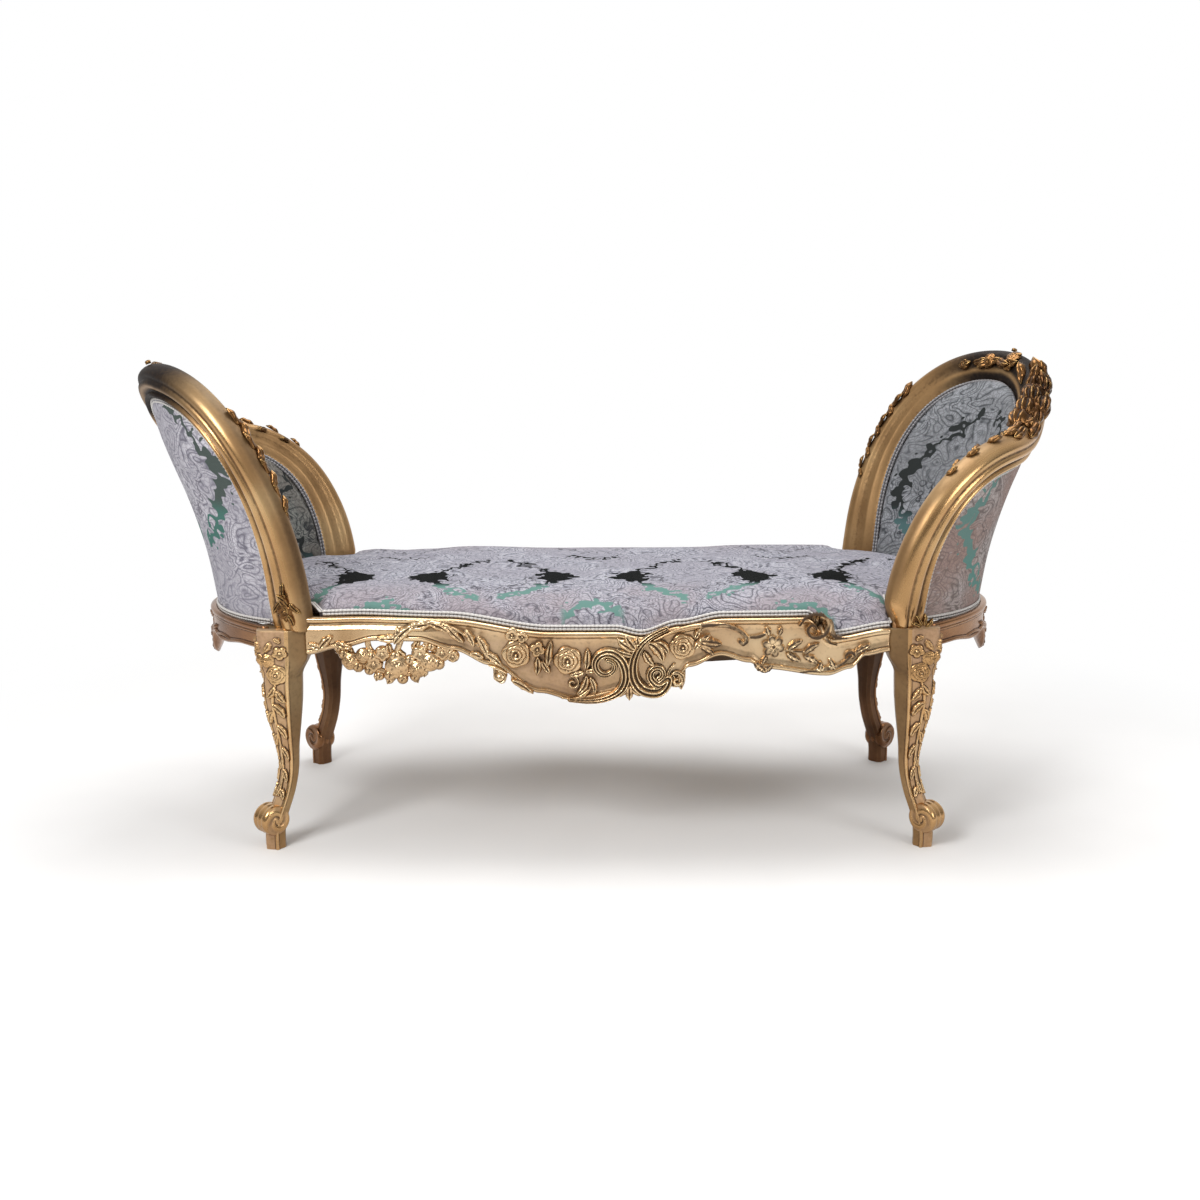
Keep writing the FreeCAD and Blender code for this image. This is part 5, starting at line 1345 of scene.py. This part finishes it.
def seatPad():
    stops = np.linspace(0, 1, len(seatEdge))

    def place(u, v):
        x, y = np.interp(u, stops, seatEdge[:, 0]), np.interp(u, stops, seatEdge[:, 1])
        # v: 0 bottom middle, .2 bottom edge, .35 top of the side, 1 middle of the crown
        t = np.clip((v - 0.35) / 0.65, 0, 1)
        reach = np.clip(np.where(v < 0.2, 1 - v / 0.2, t), 0, 1)
        middleX = np.clip(x, -seatShape["spine"], seatShape["spine"])
        px, py = middleX + (x - middleX) * (1 - reach), y * (1 - reach)
        edge = np.hypot(x - px, y - py)
        under = seatShape["edge"]
        low = np.where(np.abs(y) > 230, eased(railShape["top"], -np.sign(y) * px) - 3, under)
        # beside the posts the edge of the cloth climbs to the level of the back's pad
        climb = ease((246 - np.abs(y)) / 56) * ease((np.abs(x) - 476) / 14)
        low = low + (seatShape["byPost"] - low) * climb
        inwards = np.clip(1 - edge / seatShape["rounding"], 0, 1)
        top = low + 6 + (seatShape["crown"] - low - 6) * np.sqrt(1 - inwards ** 2.6)
        side = low + 6 * np.clip((v - 0.2) / 0.15, 0, 1)
        z = np.where(v < 0.2, np.where(v > 0.17, low, under), np.where(v < 0.35, side, top))
        return np.stack([px, py, z], axis=1)

    return laidGrid(400, 60, place)


puffedSeat = puffed(seatPad(), voxel=0.007, pressure=2.5, cap=0.004,
                    pinned=lambda co: co[:, 2] < 0.418)
seatPiece = dressed("seatCushion", puffedSeat, seatDamask,
                    ["seat_cover", "seat_stuffing"], hollows=False)
print("seat upholstered")


# gimp: a looped braid over every edge of the cloth
gimpShape = {"width": 11, "thick": 3.6, "loop": 7.0, "step": 1.25}


def gimpRun(line, face):
    # line: points in mm, face: the way the braid looks at each point
    line, face = np.array(line, float), unit(np.array(face, float))
    run = np.concatenate([[0], np.cumsum(np.linalg.norm(np.diff(line, axis=0), axis=1))])
    along = unit(np.gradient(line, axis=0))
    side = unit(np.cross(along, face))
    total = run[-1]

    def place(u, v):
        s = u * total
        spot, out, across = (np.stack([np.interp(s, run, grid[:, i]) for i in range(3)], axis=1)
                             for grid in (line, face, side))
        top = v < 0.75
        q = np.where(top, 2 * v / 0.75 - 1, 1 - 2 * (v - 0.75) / 0.25)
        loop = np.abs(np.sin(math.pi * s / gimpShape["loop"]))
        wide = gimpShape["width"] / 2 * (0.86 + 0.14 * loop)
        rows = np.abs(np.sin(math.pi * (q + 1)))
        h = gimpShape["thick"] * (0.2 + 0.8 * rows * (0.2 + 0.8 * loop))
        h = np.where(top, h, -0.5) * np.clip(8 * (1 - np.abs(q)), 0, 1)
        return spot + across * (q * wide)[:, None] + out * h[:, None]

    return laidGrid(int(total / gimpShape["step"]), 16, place)


def backGimp(offset, outerSide):
    share = np.linspace(0.004, 0.996, 420)
    middle, across, _ = archFrame(share)
    edge = middle - across * (frameHalf(share) + 4.5)[:, None]
    y, z = edge[:, 1], np.maximum(edge[:, 2], 412)
    face = backNormal(y, z) * (1 if outerSide else -1)
    runs = [gimpRun(onBack(y, z, offset + 0 * z), face)]
    if outerSide:
        # a second run along the foot of the cover
        y = np.linspace(-205, 205, 160)
        z = np.full_like(y, 414.0)
        puff = 1 - np.abs(y / 212) ** 5
        runs.append(gimpRun(onBack(y, z, 9.5 + 15 * puff), backNormal(y, z)))
    return runs


rightOutsideGimp = present("rightOutsideGimp", backGimp(offset=9.0, outerSide=True), braid,
                           ["right_outside_gimp"])
turned("leftOutsideGimp", rightOutsideGimp, ["left_outside_gimp"])
rightInsideGimp = present("rightInsideGimp", backGimp(offset=-20.5, outerSide=False), shadedBraid,
                          ["right_inside_gimp"])
turned("leftInsideGimp", rightInsideGimp, ["left_inside_gimp"])


def seatGimp():
    runs = []
    x = np.linspace(-478, 507, 420)
    y = -(railFace(x) - railShape["lip"] + 0.5)
    z = eased(railShape["top"], x) + 6.5
    front = np.stack([x, y, z], axis=1)
    face = np.stack([x * 0.0001, -np.ones_like(x), 0.25 * np.ones_like(x)], axis=1)
    for s in (1, -1):
        start = np.array([508 if s > 0 else -480, -248, front[-1 if s > 0 else 0, 2]])
        stop = np.array([505, -186, 449]) if s > 0 else np.array([-506, -198, 444])
        t = np.linspace(0, 1, 40)[:, None]
        runs.append(gimpRun(start * (1 - t) + stop * t, np.tile([-s * 0.5, -0.75, 0.6], (40, 1))))
    runs.append(gimpRun(front, face))
    for part in list(runs):
        other = part.copy()
        bmesh.ops.rotate(other, verts=other.verts, cent=(0, 0, 0),
                         matrix=Matrix.Rotation(math.pi, 3, "Z"))
        runs.append(other)
    return runs


present("seatGimp", seatGimp(), braid, ["seat_gimp"])
print("gimp sewn on")


# the photograph's camera, found from the four feet
cameraLook = {"place": (0.01375, -2.85384, 1.04456), "pitch": 0.22187, "yaw": -0.00374,
              "roll": -0.00518, "lens": 46.134, "sensor": 36.0}


def makeCamera(look):
    cp, sp = math.cos(look["pitch"]), math.sin(look["pitch"])
    cy, sy = math.cos(look["yaw"]), math.sin(look["yaw"])
    cr, sr = math.cos(look["roll"]), math.sin(look["roll"])
    forward = Vector((sy * cp, cy * cp, -sp))
    right = Vector((cy, -sy, 0))
    down = Vector((-sy * sp, -cy * sp, -cp))
    across, fall = right * cr - down * sr, right * sr + down * cr
    data = bpy.data.cameras.new("view")
    data.lens, data.sensor_width, data.sensor_height = look["lens"], look["sensor"], look["sensor"]
    data.sensor_fit = "HORIZONTAL"
    camera = bpy.data.objects.new("view", data)
    turn = Matrix((across, -fall, -forward)).transposed().to_4x4()
    camera.matrix_world = Matrix.Translation(Vector(look["place"])) @ turn
    bpy.context.scene.collection.objects.link(camera)
    bpy.context.scene.camera = camera


def softLamp(name, place, aim, size, watts):
    data = bpy.data.lights.new(name, "AREA")
    data.shape, data.size, data.energy = "SQUARE", size, watts
    lamp = bpy.data.objects.new(name, data)
    turn = (Vector(aim) - Vector(place)).to_track_quat("-Z", "Y").to_matrix().to_4x4()
    lamp.matrix_world = Matrix.Translation(Vector(place)) @ turn
    bpy.context.scene.collection.objects.link(lamp)


makeCamera(cameraLook)
bpy.context.scene.view_settings.view_transform = "Standard"
softLamp("keyLamp", (-1.7, -2.4, 2.6), (0, 0, 0.45), 1.3, 78)
softLamp("fillLamp", (2.4, -2.2, 1.4), (0, 0, 0.45), 1.2, 24)
softLamp("topLamp", (0.2, 0.4, 2.7), (0, 0, 0.4), 1.6, 42)


def studioWorld():
    # a plain white studio: bright overhead, darker low down, and white where the camera looks
    # past it; metal shows the white behind the bench and the dim side where it faces forward
    world = bpy.data.worlds.new("studio")
    bpy.context.scene.world = world
    world.use_nodes = True
    world.node_tree.nodes.clear()
    add = partial(addNode, world.node_tree)
    ray = add("LightPath")
    way = add("SeparateXYZ", [add("TexCoord").outputs["Generated"]])
    walls = add("MapRange", (way.outputs[2], 0.0, 0.95, 0.07, 0.95))
    dimmed = add("Background", {"Color": linear("#ECE9E6"), "Strength": walls})
    white = add("Background", {"Color": (1, 1, 1, 1), "Strength": 1.0})
    behind = add("MapRange", (way.outputs[1], 0.1, 0.7, 0.0, 1.0))
    mirrors = add("Math", (ray.outputs["Is Glossy Ray"], behind), operation="MULTIPLY")
    clear = add("Math", (ray.outputs["Is Camera Ray"], ray.outputs["Is Transmission Ray"]),
                operation="MAXIMUM")
    clear = add("Math", (clear, mirrors), operation="MAXIMUM")
    add("OutputWorld", {"Surface": add("MixShader", (clear, dimmed, white))})


def palePaper():
    # matt white studio paper that runs out into the white behind, as seen by the camera
    material, add = blank("palePaper")
    spot = add("TexCoord").outputs["Object"]
    cloudy = add("TexNoise", {"Vector": spot, "Scale": 3.0})
    colour = add("ValToRGB", [cloudy], [(0.3, "#EDEDED"), (0.7, "#F2F2F2")])
    away = add("VectorMath", [spot], operation="LENGTH").outputs["Value"]
    fade = add("MapRange", (away, 0.85, 1.7, 0.0, 1.0), interpolation_type="SMOOTHSTEP")
    ray = add("LightPath")
    shown = add("Math", (ray.outputs["Is Camera Ray"], ray.outputs["Is Glossy Ray"]),
                operation="MAXIMUM")
    shown = add("Math", (shown, ray.outputs["Is Transmission Ray"]), operation="MAXIMUM")
    fade = add("Math", (fade, shown), operation="MULTIPLY")
    glow = add("Emission", {"Color": (1, 1, 1, 1), "Strength": 1.0})
    matte = add("BsdfPrincipled", {"Base Color": colour, "Roughness": 0.9})
    add("OutputMaterial", {"Surface": add("MixShader", (fade, matte, glow))})
    return material


studioWorld()
disc = bmesh.new()
bmesh.ops.create_circle(disc, cap_ends=True, radius=14, segments=96)
floorMesh = bpy.data.meshes.new("floor")
disc.to_mesh(floorMesh)
disc.free()
floorMesh.materials.append(palePaper())
floor = bpy.data.objects.new("floor", floorMesh)
bpy.context.scene.collection.objects.link(floor)
print("studio made")

# what the covers hide keeps its CAD shape and gets a plain look
hidden = {"seat_webbing": band, "seat_hessian": jute, "seat_bearers": beech,
          "corner_blocks": beech, "corner_screws": steel, "rail_dowels": beech,
          "stile_dowels": beech}
for end in ("right_", "left_"):
    hidden[end + "tacking_rail"] = beech
    hidden[end + "back_hessian"] = jute
    hidden[end + "inside_stuffing"] = hair
for name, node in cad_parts.items():
    node.data.materials.clear()
    node.data.materials.append(hidden.get(name, gilt))
